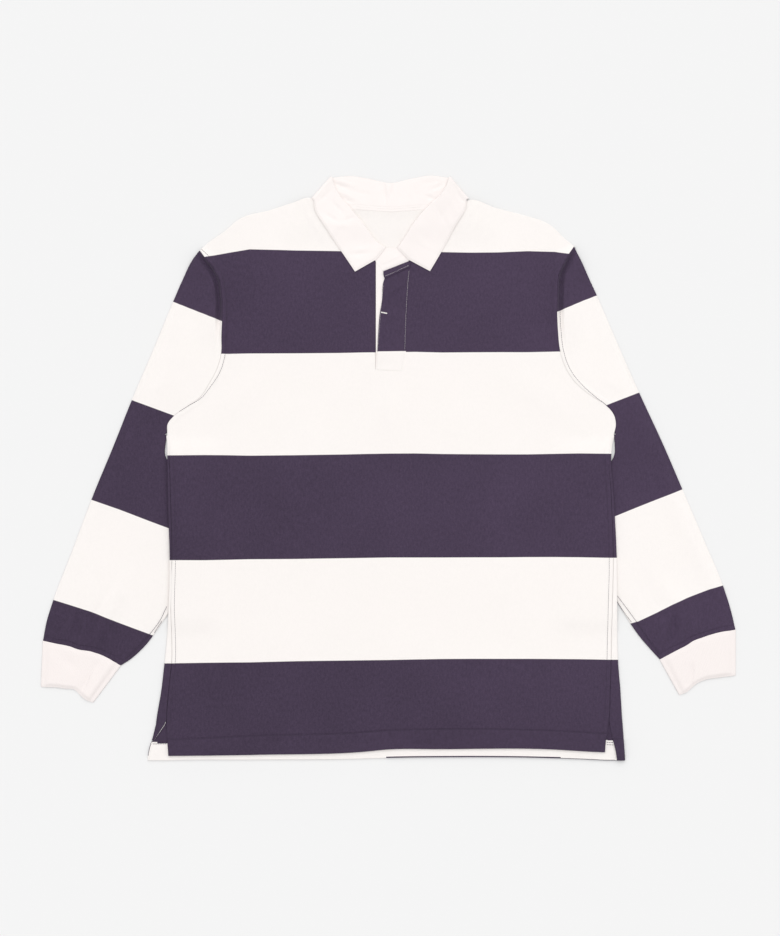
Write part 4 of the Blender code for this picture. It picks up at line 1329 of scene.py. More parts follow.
def band_groove(side, plan):
    """The depth of the stitched line along a sleeve's end, deeper in some places."""
    seam = curve(CUFFS[side].points("seam"), np.linspace(0, 1, 40))
    away = distance_to(plan, seam) - BAND_AWAY
    deeper = folds(BAND_DENTS, plan)
    return np.minimum(BAND_DEPTH + deeper, BAND_DEEPEST) * np.exp(-((away / BAND_WIDTH) ** 2))


def make_sleeve(side, finish):
    upper, lower = sleeve_plan(side)
    cap = np.linspace(0, 1, CAP_ROWS)
    away = np.concatenate([ramp(cap, 0, 0.4), np.ones(TUBE_ROWS)])
    edges = ramp(SLEEVE_COLUMNS, *FOLDS_OUTER) * ramp(SLEEVE_COLUMNS, *FOLDS_INNER)
    relief = sleeve_folds(upper) * away * edges[:, None] + sleeve_relief(side, upper)
    to_outer, to_inner = (ramp(SLEEVE_COLUMNS, *ends)[:, None] for ends in (PRESS_OUTER, PRESS_INNER))
    shown = np.concatenate([np.zeros(CAP_ROWS), ramp(TUBE_SHARES, *PRESS_SHOWN)])
    pressed = SLEEVE_PRESS * np.maximum(to_outer, to_inner * shown)
    inner, outer = flat_tube(upper, lower, JERSEY, relief, band_groove(side, upper), pressed)
    place = stripe_place(SLEEVE_STRIPES[side], outer)
    present = np.ones((len(inner), inner.shape[1] - 1), bool)
    inner_edge = slice(len(SLEEVE_COLUMNS) - 1, len(SLEEVE_COLUMNS) + len(EDGE_TURN))
    present[inner_edge, : CAP_ROWS - 1] = False
    name = side + "_sleeve_cloth"
    piece = shell(name, inner, outer, finish, tube_flow(outer), (place,) * 3, present, ring=True)
    fit(piece, ["sleeve_" + side])


CUFF_SPREAD = np.array((0, 0.02, 0.05, *np.linspace(0.08, 0.96, 40), 0.98, 1))
CUFF_OVER = 0.4
CUFF_PILLOW = 0.9
CUFF_SWELLS = 0.12
CUFF_FLAT = 0.06
PRESS_FROM = 0.9
CUFF_FOLDS = fold_table(
    (-386, -284, 58, 40, 9, 0.9),
    (-452, -252, -60, 12, 7, 0.4),
    (402, -262, 82, 24, 10, 0.6),
)

# The narrow hollows in the cuffs' outer face: the seam's fold on the right one, and dents.
CUFF_GROOVES = fold_table(
    (-427, -260, -42, 12, 7, 1.1),
    (405.5, -272, 84, 7, 1.8, 0.6),
    (409, -290, 60, 7, 3, 0.5),
)

# Where the rib drops slowly towards a line, and rises at once beyond it: the line's two ends and the drop.
CUFF_STEPS = Rows(
    "from_x from_y to_x to_y drop",
    (-384, -253, -412.8, -299.3, 1.9),
    (408.6, -258, 406.6, -287, 1.2),
)
STEP_LONG = 7.0
STEP_SHORT = 1.7
STEP_STARTS, STEP_ENDS = (0, 0.3), (1.25, 1)


def cuff_drop(plan):
    """How far the rib drops: by exp(away / long) before a step's line, and by an S to none just beyond it."""
    drop = np.zeros(plan.shape[:-1])
    for from_x, from_y, to_x, to_y, depth in CUFF_STEPS.rows:
        start, run = np.array((from_x, from_y)), np.array((to_x - from_x, to_y - from_y))
        length = math.hypot(*run)
        share = ((plan - start) @ run) / length**2
        away = ((plan - start) @ np.array((-run[1], run[0]))) / length
        shape = np.where(away < 0, np.exp(np.minimum(away, 0) / STEP_LONG), ramp(away, STEP_SHORT, 0))
        drop = drop + depth * shape * ramp(share, *STEP_STARTS) * ramp(share, *STEP_ENDS)
    return drop


def make_cuff(side, finish):
    """A doubled rib cuff, whose rows run straight from the sleeve's seam to the free end's wavy line."""
    start = sleeve_plan(side)[0][:, -1]
    end = curve(CUFFS[side].points("end"), SLEEVE_COLUMNS)
    inset = RIB + FOLD_INSIDE + EDGE_SOFT
    end = end + inset * unit(end[-1] - end[0]) * (1 - 2 * SLEEVE_COLUMNS[:, None])
    run = end - start
    start = start - CUFF_OVER * unit(run)
    plan = mix(start[:, None], end[:, None], CUFF_SPREAD[None, :, None])
    edges = ramp(SLEEVE_COLUMNS, 0, CUFF_FLAT) * ramp(SLEEVE_COLUMNS, 1, 1 - CUFF_FLAT)
    pillow = CUFF_PILLOW * ramp(CUFF_SPREAD, 0, CUFF_SWELLS)
    half_drop = cuff_drop(plan) / 2
    groove = (folds(CUFF_GROOVES, plan) + half_drop) * edges[:, None]
    relief = (folds(CUFF_FOLDS, plan) + pillow - half_drop) * edges[:, None]
    near_edge = np.maximum(ramp(SLEEVE_COLUMNS, 1 - PRESS_FROM, 0), ramp(SLEEVE_COLUMNS, PRESS_FROM, 1))
    near_end = ramp(CUFF_SPREAD, PRESS_FROM, 1)
    pressed = np.maximum(CUFF_PRESS * near_edge[:, None], END_PRESS * near_end[None])
    inner, outer = flat_tube(plan, plan, RIB, relief, groove, pressed)
    piece = shell(side + "_cuff_rib", inner, outer, finish, tube_flow(outer), ring=True)
    fit(piece, ["cuff_" + side])


# -----------------------------------------------------------------------------------------------------------
# The collar: a strip from one front end round the back to the other. Across it runs the stand, up from the
# neck seam to the fold, and then the fall. At each side of the neck the strip is creased, so its front
# parts lie over its back part, and the fall lies outside the stand there.

COLLAR_RIGHT = Rows(
    "share fold_x fold_y middle_x middle_y outer_x outer_y",
    (0.00, -3.4, 296.3, -16.2, 280.6, -44.9, 264.2),
    (0.20, -17.6, 306.5, -33, 296, -57.2, 282.6),
    (0.40, -34.2, 329.6, -51, 316.5, -70.4, 301.6),
    (0.60, -50.6, 349, -67.5, 337.5, -86, 325.5),
    (0.80, -65, 366.5, -80.5, 357, -97.6, 344.5),
    (0.92, -72.8, 381.5, -86, 369, -100.2, 354.6),
    (1.00, -75, 390.2, -87.2, 375.6, -100.4, 360.2),
)
COLLAR_LEFT = Rows(
    "share fold_x fold_y middle_x middle_y outer_x outer_y",
    (0.00, 11.4, 295.6, 26.4, 280.4, 55.6, 264.8),
    (0.20, 20.5, 309, 40.5, 296, 66.2, 282.6),
    (0.40, 35.8, 333, 56, 316.5, 77, 301.6),
    (0.60, 54, 353, 71.5, 337.5, 90, 326),
    (0.80, 70, 368.5, 85.5, 357, 101.4, 344.5),
    (0.92, 77.8, 381.8, 90.6, 369.4, 104.4, 354.8),
    (1.00, 80.2, 390.2, 91.8, 375.6, 104.4, 360.4),
)
COLLAR_BACK = Rows(
    "share seam_x fold_x fold_y middle_x middle_y outer_x outer_y",
    (0.00, -86.8, -75, 390.2, -87.2, 375.6, -100.4, 360.2),
    (0.12, -70, -54, 392.4, -62, 366, -72, 343),
    (0.30, -34, -29, 389.4, -31, 362, -33, 336),
    (0.50, 2.5, 3, 383.4, 3, 358, 3, 334),
    (0.70, 39, 34, 389.6, 37, 362, 39, 336),
    (0.88, 74, 59, 393, 68, 366, 78, 343),
    (1.00, 91.8, 80.2, 390.2, 91.8, 375.6, 104.4, 360.4),
)
LEAF_ROWS = 78
BACK_SHARES = np.concatenate(
    [np.linspace(0, 0.44, 48), np.linspace(0.446, 0.554, 33), np.linspace(0.56, 1, 48)]
)
CREASE_TURN = np.radians(np.arange(12, 180, 12))
FOLD_TURN = np.radians(np.arange(15, 180, 15))
STAND_SHARES = np.linspace(0, 1, 21)
FALL_SHARES = np.linspace(0, 2, 26)
FOLD_MIDDLE = WOVEN + GAP
CREASE_OUT = {"right": np.array([-0.83, 0.56]), "left": np.array([0.83, 0.56])}

# The creases in the collar's leaves and in the stand behind the neck.
COLLAR_CREASES = fold_table(
    (-86, 364, 45, 11, 2.4, -1),
    (-92, 356, 60, 10, 3, 0.6),
    (-67, 348, -48, 10, 2.6, -0.9),
    (-76, 336, -35, 10, 2.4, -1),
    (-52, 335, 22, 9, 2.4, -1),
    (-64, 326, -8, 14, 4, 0.6),
    (-72, 318, 56, 18, 4, 0.5),
    (-40, 288, 4, 11, 2.6, -0.9),
    (-36, 294, 8, 10, 3.2, 0.5),
    (98, 361, -50, 8, 2.4, -0.9),
    (88, 350, -62, 14, 3, 0.5),
    (70, 340, -60, 13, 2.4, -0.6),
    (84, 330, -56, 14, 3.4, 0.5),
    (48, 300, -40, 14, 3.5, 0.4),
    (62, 288, -30, 12, 3, -0.5),
)
STAND_CREASES = fold_table(
    (-4.6, 371, 92, 11, 1.5, -1.3),
    (-0.4, 371, 90, 10, 1.6, 0.6),
    (4, 372, 87, 9, 1.4, -0.9),
    (-62, 379, -20, 12, 2, -1.4),
    (-58, 383, -16, 12, 2.6, 0.8),
    (-56, 361, -27, 10, 2, -1.3),
    (-53, 366, -30, 12, 2.6, 0.7),
    (-36, 370, -12, 10, 2.4, -0.4),
    (56, 384, 10, 9, 2, -0.8),
    (65, 377, 29, 9, 2, -1.2),
    (60, 371, 24, 10, 2.4, 0.6),
    (57, 363, -17, 9, 2, -0.9),
    (30, 368, -75, 8, 2.4, 0.3),
)

# How far the free edges of the collar's leaves are pressed down, inside and outside, and over what width.
PRESS = {FOLD_INSIDE: 0.35, FOLD_INSIDE + WOVEN: 0.75}
PRESS_SHARE = 1.86
PRESS_ROWS = 4


def collar_lines(table, share):
    return {
        name: np.stack([table.along(name + axis, share, by="share") for axis in ("_x", "_y")], axis=1)
        for name in ("fold", "middle", "outer")
    }


def back_lines():
    lines = collar_lines(COLLAR_BACK, BACK_SHARES)
    seam_x = COLLAR_BACK.along("seam_x", BACK_SHARES, by="share")
    lines["seam"] = np.stack([seam_x, back_neck(seam_x) + 2 * GAP], axis=1)
    return lines


def leaf_lines(side):
    """A front part's four plan lines, from the collar's free end up to the crease at the neck's side."""
    share = np.linspace(0, 1, LEAF_ROWS)
    lines = collar_lines(COLLAR_RIGHT if side == "right" else COLLAR_LEFT, share)
    seam = curve(NECKLINES.points(side), share)
    lines["seam"] = seam + 2 * GAP * unit(lines["fold"] - seam)
    lines["seam"][-1] = back_lines()["seam"][0 if side == "right" else -1]
    return lines


def collar_section(lines, reach, turn, crease_out):
    """The collar's points on one face, by row along the strip and across it from the neck seam to the edge.

    The stand runs flat from the seam to the fold, a half round of the face's reach turns it over, and the
    fall runs flat through its middle line to its edge. turn is 0 on the front parts, pi on the back, and
    between them at a crease, where the whole section swings over about its middle height.
    """
    seam, fold, middle, outer = (lines[n][:, None] for n in ("seam", "fold", "middle", "outer"))
    past = unit(fold - seam)
    base = fold - past * (WOVEN + FOLD_INSIDE)
    angle = FOLD_TURN[None, :, None]
    stand = mix(seam, base, STAND_SHARES[None, :, None])
    bend = base + past * reach * np.sin(angle)
    share = FALL_SHARES[None, :, None]
    fall = np.where(share < 1, mix(base, middle, share), mix(middle, outer, share - 1))
    plan = np.concatenate([stand, bend, fall], axis=1)
    rows = len(plan)
    height = np.concatenate(
        [
            np.full((rows, len(STAND_SHARES)), FOLD_MIDDLE - reach),
            np.broadcast_to(FOLD_MIDDLE - reach * np.cos(FOLD_TURN), (rows, len(FOLD_TURN))),
            np.full((rows, len(FALL_SHARES)), FOLD_MIDDLE + reach),
        ],
        axis=1,
    )
    turn = np.broadcast_to(turn, (rows,))[:, None]
    placed = plan + crease_out * (height * np.sin(turn))[..., None]
    neck = lift(plan[..., 0], plan[..., 1]) / NECK_LIFT
    middle_height = mix(GAP + JERSEY - FOLD_INSIDE, NECK_LIFT * 2 - FOLD_INSIDE, neck)
    relief = leaf_relief(placed, turn) if reach > FOLD_INSIDE else leaf_relief(placed, turn) * 0.9
    before_fall = len(STAND_SHARES) + len(FOLD_TURN)
    fall_edge = ramp(np.concatenate([np.zeros(before_fall), FALL_SHARES]), PRESS_SHARE, 2)
    on_fall = np.arange(plan.shape[1]) > len(STAND_SHARES) + len(FOLD_TURN) // 2
    free_end = ramp(np.arange(rows), PRESS_ROWS, 0)[:, None] * on_fall * (rows == LEAF_ROWS)
    pressed = PRESS[reach] * np.maximum(fall_edge[None], free_end) * np.maximum(np.cos(turn), 0)
    return at_height(placed, middle_height + height * np.cos(turn) + relief - pressed)


def leaf_relief(plan, turn):
    """The creases of the fall on the front parts, and of the stand on the back part."""
    across = np.arange(plan.shape[1])
    on_fall = ramp(across, len(STAND_SHARES) + len(FOLD_TURN), len(STAND_SHARES) + len(FOLD_TURN) + 4)
    on_stand = ramp(across, len(STAND_SHARES), len(STAND_SHARES) - 3) * ramp(across, 0, 2)
    front, back = np.cos(turn) > 0.99, np.cos(turn) < -0.99
    return folds(COLLAR_CREASES, plan) * on_fall * front + folds(STAND_CREASES, plan) * on_stand * back


def collar_face(reach):
    """One face of the collar: its right leaf, the crease, the back, the other crease, and its left leaf."""
    parts = {}
    for side in ("right", "left"):
        lines = leaf_lines(side)
        crease = {name: np.repeat(line[-1:], len(CREASE_TURN), axis=0) for name, line in lines.items()}
        leaf = collar_section(lines, reach, 0.0, CREASE_OUT[side])
        bend = collar_section(crease, reach, CREASE_TURN, CREASE_OUT[side])
        parts[side] = np.concatenate([leaf, bend])
    back = collar_section(back_lines(), reach, math.pi, np.zeros(2))
    return np.concatenate([parts["right"], back, parts["left"][::-1]])


def sheet_flow(face):
    """Cloth coordinates of a grid: how far along its columns, and how far across its rows."""
    return np.stack([run_along(face), run_along(face, axis=1)], axis=-1)



def make_collar(finish):
    lining, skin = collar_face(FOLD_INSIDE), collar_face(FOLD_INSIDE + WOVEN)
    piece = shell("collar_cloth", lining, skin, finish, sheet_flow(skin))
    fit(piece, ["collar"])


# -----------------------------------------------------------------------------------------------------------
# The small pieces of the neck and the placket.

NECKBAND_END = sides_table(
    (-7.4, 264.4, 27.4, 277.6),
    (-12.6, 271, 26.4, 280.6),
    (-17.4, 278.4, 23.4, 284.6),
    (-11.2, 288, 18.6, 290.2),
    (-4, 296, 12.4, 295.4),
)
UNDERLAP = sides_table(
    (-17, 134.4, 11.6, 134.4),
    (-17, 182, 14.6, 182),
    (-17, 230, 17.6, 230),
    (-17, 262, 20.2, 262),
)
UNDERLAP_TOP = ((-17.0, 280.0), (-12.4, 280.0), (-4.4, 267.0), (4.0, 271.0), (21.0, 278.0))
PLACKET = sides_table(
    (-16.8, 132.4, 18.4, 130.9),
    (-15.1, 158, 23.4, 158),
    (-14.1, 177, 24.2, 177),
    (-11.4, 210.4, 25, 210.4),
    (-8.7, 226, 26.2, 232),
    (-7, 250, 28.4, 262),
    (-5.4, 255, 28.8, 270),
)
PLACKET_BAND = sides_table(
    (-5.4, 255.4, 28.8, 270.4),
    (-6.8, 260.6, 28.4, 274.8),
    (-7, 264.7, 27.4, 278.4),
)
PLACKET_CREASES = fold_table(
    (11, 236, 42, 13, 2.2, -1.4),
    (15, 231, 42, 12, 2.6, 0.7),
    (13, 262.2, 26, 20, 1, -1.1),
    (-2, 222, 62, 12, 3, 0.4),
    (0, 204, 20, 6, 3, 0.3),
    (24, 150, 80, 8, 2.4, 0.3),
)
PLACKET_STRIPE_UP = 1.2
ALWAYS_NAVY = 0.05
BAND_LIFT = WOVEN - JERSEY
BAND_RISE = 0.8
SEWN_STEP = 0.35
SEWN_SIDE = (6.5, 1.0)
SEWN_FOOT = (156, 137)
TAPE_WIDTH = 5.4
TAPE_BASE = JERSEY - 0.1
TAPE_SHOWN = 0.35
TAPE_OVERLAP = 1.7
TAPE_RIGHT = (-51.0, -58.0)
TAPE_LEFT = (51.0, 58.0)


def patch(table, rows, columns):
    """Plan points between a table's two sides, straight across, with rows by the sides' own length."""
    share = np.linspace(0, 1, rows)
    right, left = curve(table.points("right"), share), curve(table.points("left"), share)
    return mix(right[None], left[None], np.linspace(0, 1, columns)[:, None, None])


def raised_patch(name, plan, base, thick, finish, relief=0.0):
    """A flat piece whose under face lies base above the surface, and more where the body is raised."""
    floor = base + lift(plan[..., 0], plan[..., 1])
    under, over = at_height(plan, floor), at_height(plan, floor + thick + relief)
    return shell(name, under, over, finish, plan)


def make_neckband(finish):
    plan = patch(NECKBAND_END, 30, 34)
    rows = np.linspace(0, 1, 30)
    dents = fold_table((-4, 274, 24, 10, 1.6, -0.3), (8, 283, 24, 9, 1.8, 0.3))
    relief = folds(dents, plan) * ramp(rows, 0, 0.1)[None]
    piece = raised_patch("neckband_cloth", plan, JERSEY + GAP, WOVEN, finish, relief)
    fit(piece, ["neckband_end"])


def make_tape(finish):
    """The strip along the back's neck edge, whose ends are cut to the slant of the collar's folds."""
    share = np.linspace(0, 1, 60)
    lines = []
    for k in range(2):
        x = mix(TAPE_RIGHT[k], TAPE_LEFT[k], share)
        lines.append(np.stack([x, back_neck(x) - GAP - (TAPE_WIDTH, -TAPE_OVERLAP)[k]], axis=1))
    plan = mix(lines[0][:, None], lines[1][:, None], np.linspace(0, 1, 8)[None, :, None])
    piece = raised_patch("neck_tape_cloth", plan, TAPE_BASE, TAPE_SHOWN, finish)
    fit(piece, ["neck_tape"])


def make_underlap(finish):
    body = patch(UNDERLAP, 44, 14)
    top_share = np.linspace(0, 1, 14)
    peak = np.array(UNDERLAP_TOP)
    top = np.stack([np.interp(top_share, np.linspace(0, 1, 5), peak[:, k]) for k in range(2)], axis=1)
    end = mix(body[:, -1:], top[:, None], np.linspace(0, 1, 7)[None, 1:, None])
    plan = np.concatenate([body, end], axis=1)
    ripple = fold_table((-9, 250, 80, 10, 2.5, 0.4), (-12, 215, 86, 14, 2.5, 0.3))
    relief = folds(ripple, plan)
    piece = raised_patch("underlap_cloth", plan, JERSEY + GAP, JERSEY, finish, relief)
    fit(piece, ["placket_underlap"])


def placket_plan():
    """The outer strip's plan points, and how far up its turned top edge each row lies."""
    lower, band = patch(PLACKET, 60, 24), patch(PLACKET_BAND, 14, 24)
    step = np.concatenate([np.zeros(60), np.ones(14)])
    return np.concatenate([lower, band], axis=1), step


def sewn_down(plan):
    """1 where the outer strip is sewn down, along its left side and its foot, and 0 where it is free."""
    x, y = plan[..., 0], plan[..., 1]
    from_left = PLACKET.along("left_x", y, by="left_y") - x
    return np.maximum(ramp(from_left, *SEWN_SIDE), ramp(y, *SEWN_FOOT))


def placket_top(plan, step):
    """The height of the outer strip's face: free over the other strip, and almost on the front where sewn."""
    free = 2 * (JERSEY + GAP) + JERSEY + folds(FRONT_FOLDS, plan) + (BAND_LIFT + BAND_RISE) * step
    sewn = front_faces(plan)[1] + SEWN_STEP
    return mix(free, sewn, sewn_down(plan) * (1 - step)) + folds(PLACKET_CREASES, plan)


def make_placket(finish):
    plan, step = placket_plan()
    over = placket_top(plan, step[None])
    under = over - JERSEY - BAND_RISE * step[None]
    place = np.maximum(stripe_place(BODY_STRIPES, plan - (0, PLACKET_STRIPE_UP)), ALWAYS_NAVY)
    piece = shell("placket_cloth", at_height(plan, under), at_height(plan, over), finish, plan, (place,) * 3)
    fit(piece, ["placket_outer"])


# -----------------------------------------------------------------------------------------------------------
# Stitching.


def offset(line, away):
    """A plan line moved sideways, towards the left of its run, by a distance at each of its points."""
    tangent = unit(np.gradient(line, axis=0))
    aside = np.stack([-tangent[:, 1], tangent[:, 0]], axis=1)
    return line + aside * np.broadcast_to(away, len(line))[:, None]


# The seams' second lines of stitching: how far they are from the seams, where the sides' lines end, and by
# share of the way up each armhole, where its line leaves the seam and meets it again.
SIDE_LINES_AWAY = (-4.9, 5.4)
SIDE_LINES_END = 17
BODY_LINE_AWAY, SLEEVE_LINE_AWAY = 5.4, 4.6
BODY_LINE_STARTS, SLEEVE_LINE_STARTS = (0.16, 0.42), (0.12, 0.34)
LINES_END = (1.06, 0.94)
UNDERARM_POINTS = 12


def side_stitch_lines():
    """The side seams' second line, further in on the front."""
    return [
        on_front(offset(line[line[:, 1] < SIDE_LINES_END], away))
        for line, away in zip(seam_lines(), SIDE_LINES_AWAY)
    ]


def armhole_stitch_lines():
    """The armholes' second line: on the front at the right, and on the sleeve at the left."""
    right, left = (line[line[:, 1] > UNDERARM - 0.5] for line in seam_lines())
    share = np.linspace(0, 1, len(right))
    on_body = offset(right, -BODY_LINE_AWAY * ramp(share, *BODY_LINE_STARTS) * ramp(share, *LINES_END))
    share = np.linspace(0, 1, len(left))
    on_sleeve = offset(left, -SLEEVE_LINE_AWAY * ramp(share, *SLEEVE_LINE_STARTS) * ramp(share, *LINES_END))
    on_body, on_sleeve = on_body[UNDERARM_POINTS:], on_sleeve[UNDERARM_POINTS:]
    return [on_front(on_body), at_height(on_sleeve, SLEEVE_STACK + sleeve_relief("left", on_sleeve))]


def resample(points, number):
    return curve(np.array(points, float), np.linspace(0, 1, number))


def flat_line(points, height, number=40):
    """A smooth plan line through a few points, at one height."""
    return at_height(resample(points, number), height)


# How far the hems' stitching is below their lines, and the back's where it shows in the vents: from x, to x,
# and how far down.
HEM_DROP = 0.2
BACK_HEM_LINES = ((-316, -297, HEM_DROP), (292, 301, 2.6), (292, 302, 5.8))


def hem_stitch_lines():
    x = np.linspace(-293.5, 288, 200)
    front = np.stack([x, hem_line("front_stitch", x) - HEM_DROP], axis=1)
    lines = [on_front(front)]
    for low, high, down in BACK_HEM_LINES:
        x = np.linspace(low, high, 14)
        back = np.stack([x, hem_line("back_stitch", x) - down], axis=1)
        lines.append(at_height(back, back_over(back)))
    return lines


def underarm_lines():
    """The doubled stitching of the underarm seams, where it comes out under the body."""
    top = SLEEVE_STACK
    return [
        flat_line([(-297.0, -184.0), (-306.6, -203.6), (-318.7, -219.8), (-334, -237), (-352, -253)], top),
        flat_line([(-303.5, -203.5), (-308.5, -211.0), (-313.8, -219.8)], top - 0.3, 12),
        flat_line([(305.0, -168.0), (316.8, -183.6), (331.2, -203.3), (347, -226), (362.9, -247.7)], top),
        flat_line([(305.6, -177.0), (315.0, -191.4), (325.5, -205.2)], top - 0.3, 12),
    ]


# The outer strip's stitching: its points, how many steps it is drawn in, and whether it is on the turned
# top edge.
PLACKET_SEWING = (
    (((27.4, 265.6), (26.3, 254), (25.2, 238.5), (23.6, 210.4), (22.5, 182), (21.8, 160)), 50, 0.0),
    (((-7, 246), (-9, 226), (-10.6, 210), (-13.2, 177), (-14.6, 160), (-15.6, 138)), 50, 0.0),
    (((-15, 133.6), (2, 132.6), (16.6, 132.4)), 12, 0.0),
    (((20.6, 155), (18, 140), (16.6, 133)), 12, 0.0),
    (((-4.6, 258), (12, 265.4), (27.2, 272.4)), 16, 1.0),
)


def placket_stitch_lines():
    """The placket's edge stitching, its other side, its foot, and the stitching of its turned top edge."""
    def on_placket(points, number, step):
        line = resample(points, number)
        return at_height(line, placket_top(line, step))

    return [on_placket(points, number, step) for points, number, step in PLACKET_SEWING]



def collar_stitch_lines():
    """Edge stitching round each leaf of the collar, and the two lines of the neck tape."""
    skin = collar_face(FOLD_INSIDE + WOVEN)
    lines = []
    for rows in (slice(2, LEAF_ROWS - 2), slice(2 - LEAF_ROWS, -2)):
        leaf = skin[rows]
        inward = unit(leaf[:, -3] - leaf[:, -1])
        lines.append(leaf[:, -1] + inward * 2.4)
    for row, step in ((0, 1), (-1, -1)):
        end = skin[row, len(STAND_SHARES) + len(FOLD_TURN) :]
        inward = unit(skin[row + step * 3, len(STAND_SHARES) + len(FOLD_TURN) :] - end)
        lines.append((end + inward * 2.4)[1:-2])
    x = np.linspace(-43, 43, 60)
    for down in (1.2, TAPE_WIDTH - 0.9):
        tape = np.stack([x, back_neck(x) - GAP - down], axis=1)
        lines.append(at_height(tape, TAPE_BASE + TAPE_SHOWN + lift(tape[:, 0], tape[:, 1])))
    return lines


def buttonhole_lines():
    """A bar of close stitches either side of the buttonhole's slit."""
    start, end = np.array((-9.8, 209.8)), np.array((-2.0, 208.3))
    run = unit(end - start)
    side = np.array([-run[1], run[0]])
    lines = []
    for share in np.linspace(0, 1, 20):
        middle = mix(start, end, share)
        line = np.stack([middle - side * 0.95, middle + side * 0.95])
        lines.append(at_height(line, placket_top(line, 0.0) + 0.1))
    return lines


# -----------------------------------------------------------------------------------------------------------
# Operators.


class ShirtOperator(bpy.types.Operator):
    """What every piece's operator shares."""

    bl_options = {"REGISTER"}


class SHIRT_OT_back(ShirtOperator):
    """Lays out the back, which wraps forward to the side seams"""

    bl_idname = "shirt.back"
    bl_label = "Back"

    def execute(self, context):
        make_back()
        return {"FINISHED"}


class SHIRT_OT_front(ShirtOperator):
    """Lays the front over the back"""

    bl_idname = "shirt.front"
    bl_label = "Front"

    def execute(self, context):
        make_front()
        return {"FINISHED"}


class SHIRT_OT_sleeves(ShirtOperator):
    """Sets in both sleeves"""

    bl_idname = "shirt.sleeves"
    bl_label = "Sleeves"

    def execute(self, context):
        finish = jersey("sleeve_jersey")
        make_sleeve("right", finish)
        make_sleeve("left", finish)
        return {"FINISHED"}


class SHIRT_OT_cuffs(ShirtOperator):
    """Joins the ribbed cuffs to the sleeves"""

    bl_idname = "shirt.cuffs"
    bl_label = "Cuffs"

    def execute(self, context):
        finish = ribbing("cuff_rib", context.scene.shirt_colours.cuff)
        make_cuff("right", finish)
        make_cuff("left", finish)
        return {"FINISHED"}


class SHIRT_OT_collar(ShirtOperator):
    """Folds the collar, and adds the neckband's end and the neck tape"""

    bl_idname = "shirt.collar"
    bl_label = "Collar and neckband"

    def execute(self, context):
        finish = twill("collar_twill", context.scene.shirt_colours.collar)
        make_collar(finish)
        make_neckband(finish)
        make_tape(finish)
        return {"FINISHED"}


class SHIRT_OT_placket(ShirtOperator):
    """Lays the two strips of the placket"""

    bl_idname = "shirt.placket"
    bl_label = "Placket"

    def execute(self, context):
        make_underlap(twill("underlap_twill", context.scene.shirt_colours.collar))
        make_placket(jersey("placket_jersey"))
        return {"FINISHED"}


class SHIRT_OT_stitching(ShirtOperator):
    """Sews the seams, hems, placket, collar and buttonhole"""

    bl_idname = "shirt.stitching"
    bl_label = "Stitching"

    def execute(self, context):
        colours = context.scene.shirt_colours
        navy, white = thread("navy_thread", colours.navy_thread), thread("white_thread", colours.white_thread)
        stitches("side_seam_stitches", side_stitch_lines(), navy, width=0.42)
        stitches("armhole_stitches", armhole_stitch_lines() + underarm_lines(), navy, width=0.5)
        stitches("hem_stitches", hem_stitch_lines(), navy, width=0.6)
        stitches("placket_stitches", placket_stitch_lines(), white, width=0.2)
        stitches("collar_stitches", collar_stitch_lines(), white, width=0.4)
        stitches("buttonhole_stitches", buttonhole_lines(), white, width=0.5, pitch=3.0)
        return {"FINISHED"}


# The surface's size, how far it is under the shirt, and the camera's place, all in metres, and the width of the
# camera's film, in millimetres.
FLOOR_REACH = 4.0
FLOOR_BELOW = 0.0002
FLOOR_CORNERS = ((-1, -1), (1, -1), (1, 1), (-1, 1))
CAMERA_OFF = (0.00201, 0.00134)
SENSOR = 36.0
SUN_TILT = (math.radians(-30), math.radians(2), 0)


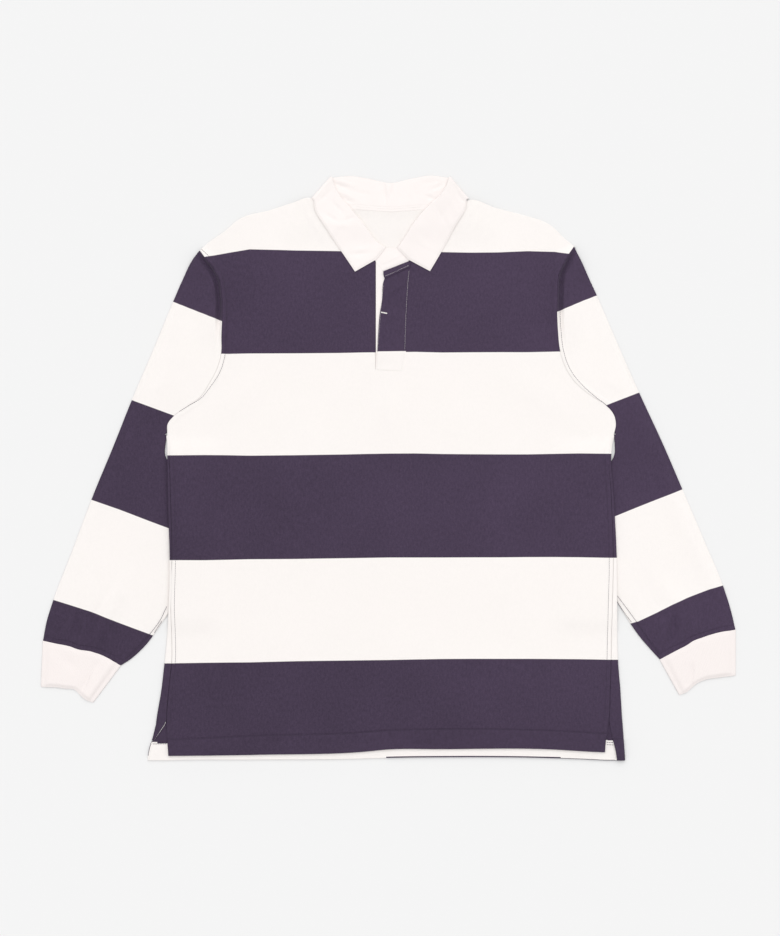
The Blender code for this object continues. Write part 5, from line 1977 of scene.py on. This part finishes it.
class SHIRT_OT_stage(ShirtOperator):
    """Sets up the pale surface, the soft light and the camera above"""

    bl_idname = "shirt.stage"
    bl_label = "Stage"

    def execute(self, context):
        scene, stage = context.scene, context.scene.shirt_stage
        mesh = bpy.data.meshes.new("floor")
        corners = [(x * FLOOR_REACH, y * FLOOR_REACH, -FLOOR_BELOW) for x, y in FLOOR_CORNERS]
        mesh.from_pydata(corners, [], [(0, 1, 2, 3)])
        finish = Finish("floor_paper", 0.9)
        grain = finish.noise(900, 2.0)
        finish.colour(finish.tint(grain, stage.floor, "floor"))
        mesh.materials.append(finish.material)
        floor = bpy.data.objects.new("floor", mesh)
        scene.collection.objects.link(floor)

        world = bpy.data.worlds.new("studio")
        world.use_nodes = True
        scene.world = world
        room = world.node_tree.nodes.get("Background")
        room.inputs["Color"].default_value = (1, 1, 1, 1)
        room.inputs["Strength"].default_value = stage.sky

        light = bpy.data.lights.new("soft_light", "SUN")
        light.energy = stage.sun
        light.angle = stage.sun_spread
        lamp = bpy.data.objects.new("soft_light", light)
        lamp.rotation_euler = SUN_TILT
        scene.collection.objects.link(lamp)

        data = bpy.data.cameras.new("camera")
        data.lens = stage.lens
        data.sensor_width = SENSOR
        data.dof.use_dof = False
        camera = bpy.data.objects.new("camera", data)
        camera.location = (*CAMERA_OFF, stage.distance)
        scene.collection.objects.link(camera)
        scene.camera = camera
        scene.view_settings.view_transform = "Standard"
        return {"FINISHED"}


PIECE_OPERATORS = (
    SHIRT_OT_back,
    SHIRT_OT_front,
    SHIRT_OT_sleeves,
    SHIRT_OT_cuffs,
    SHIRT_OT_collar,
    SHIRT_OT_placket,
    SHIRT_OT_stitching,
    SHIRT_OT_stage,
)


class SHIRT_PT_pieces(bpy.types.Panel):
    """The shirt's pieces, and the settings that they are made from."""

    bl_idname = "SHIRT_PT_pieces"
    bl_label = "Laid-out rugby shirt"
    bl_space_type = "VIEW_3D"
    bl_region_type = "UI"
    bl_category = "Shirt"

    def draw(self, context):
        for operator in PIECE_OPERATORS:
            self.layout.operator(operator.bl_idname)
        for settings in (context.scene.shirt_cloth, context.scene.shirt_colours, context.scene.shirt_stage):
            box = self.layout.box()
            for name in settings.__annotations__:
                box.prop(settings, name)


SETTINGS = {"shirt_cloth": ShirtCloth, "shirt_colours": ShirtColours, "shirt_stage": ShirtStage}
CLASSES = (*SETTINGS.values(), *PIECE_OPERATORS, SHIRT_PT_pieces)


def register():
    for cls in CLASSES:
        bpy.utils.register_class(cls)
    for name, settings in SETTINGS.items():
        setattr(bpy.types.Scene, name, bpy.props.PointerProperty(type=settings))


def unregister():
    for name in SETTINGS:
        delattr(bpy.types.Scene, name)
    for cls in reversed(CLASSES):
        bpy.utils.unregister_class(cls)


def main():
    register()
    bpy.ops.shirt.back()
    bpy.ops.shirt.front()
    bpy.ops.shirt.sleeves()
    bpy.ops.shirt.cuffs()
    bpy.ops.shirt.collar()
    bpy.ops.shirt.placket()
    bpy.ops.shirt.stitching()
    bpy.ops.shirt.stage()


if __name__ == "__main__":
    main()
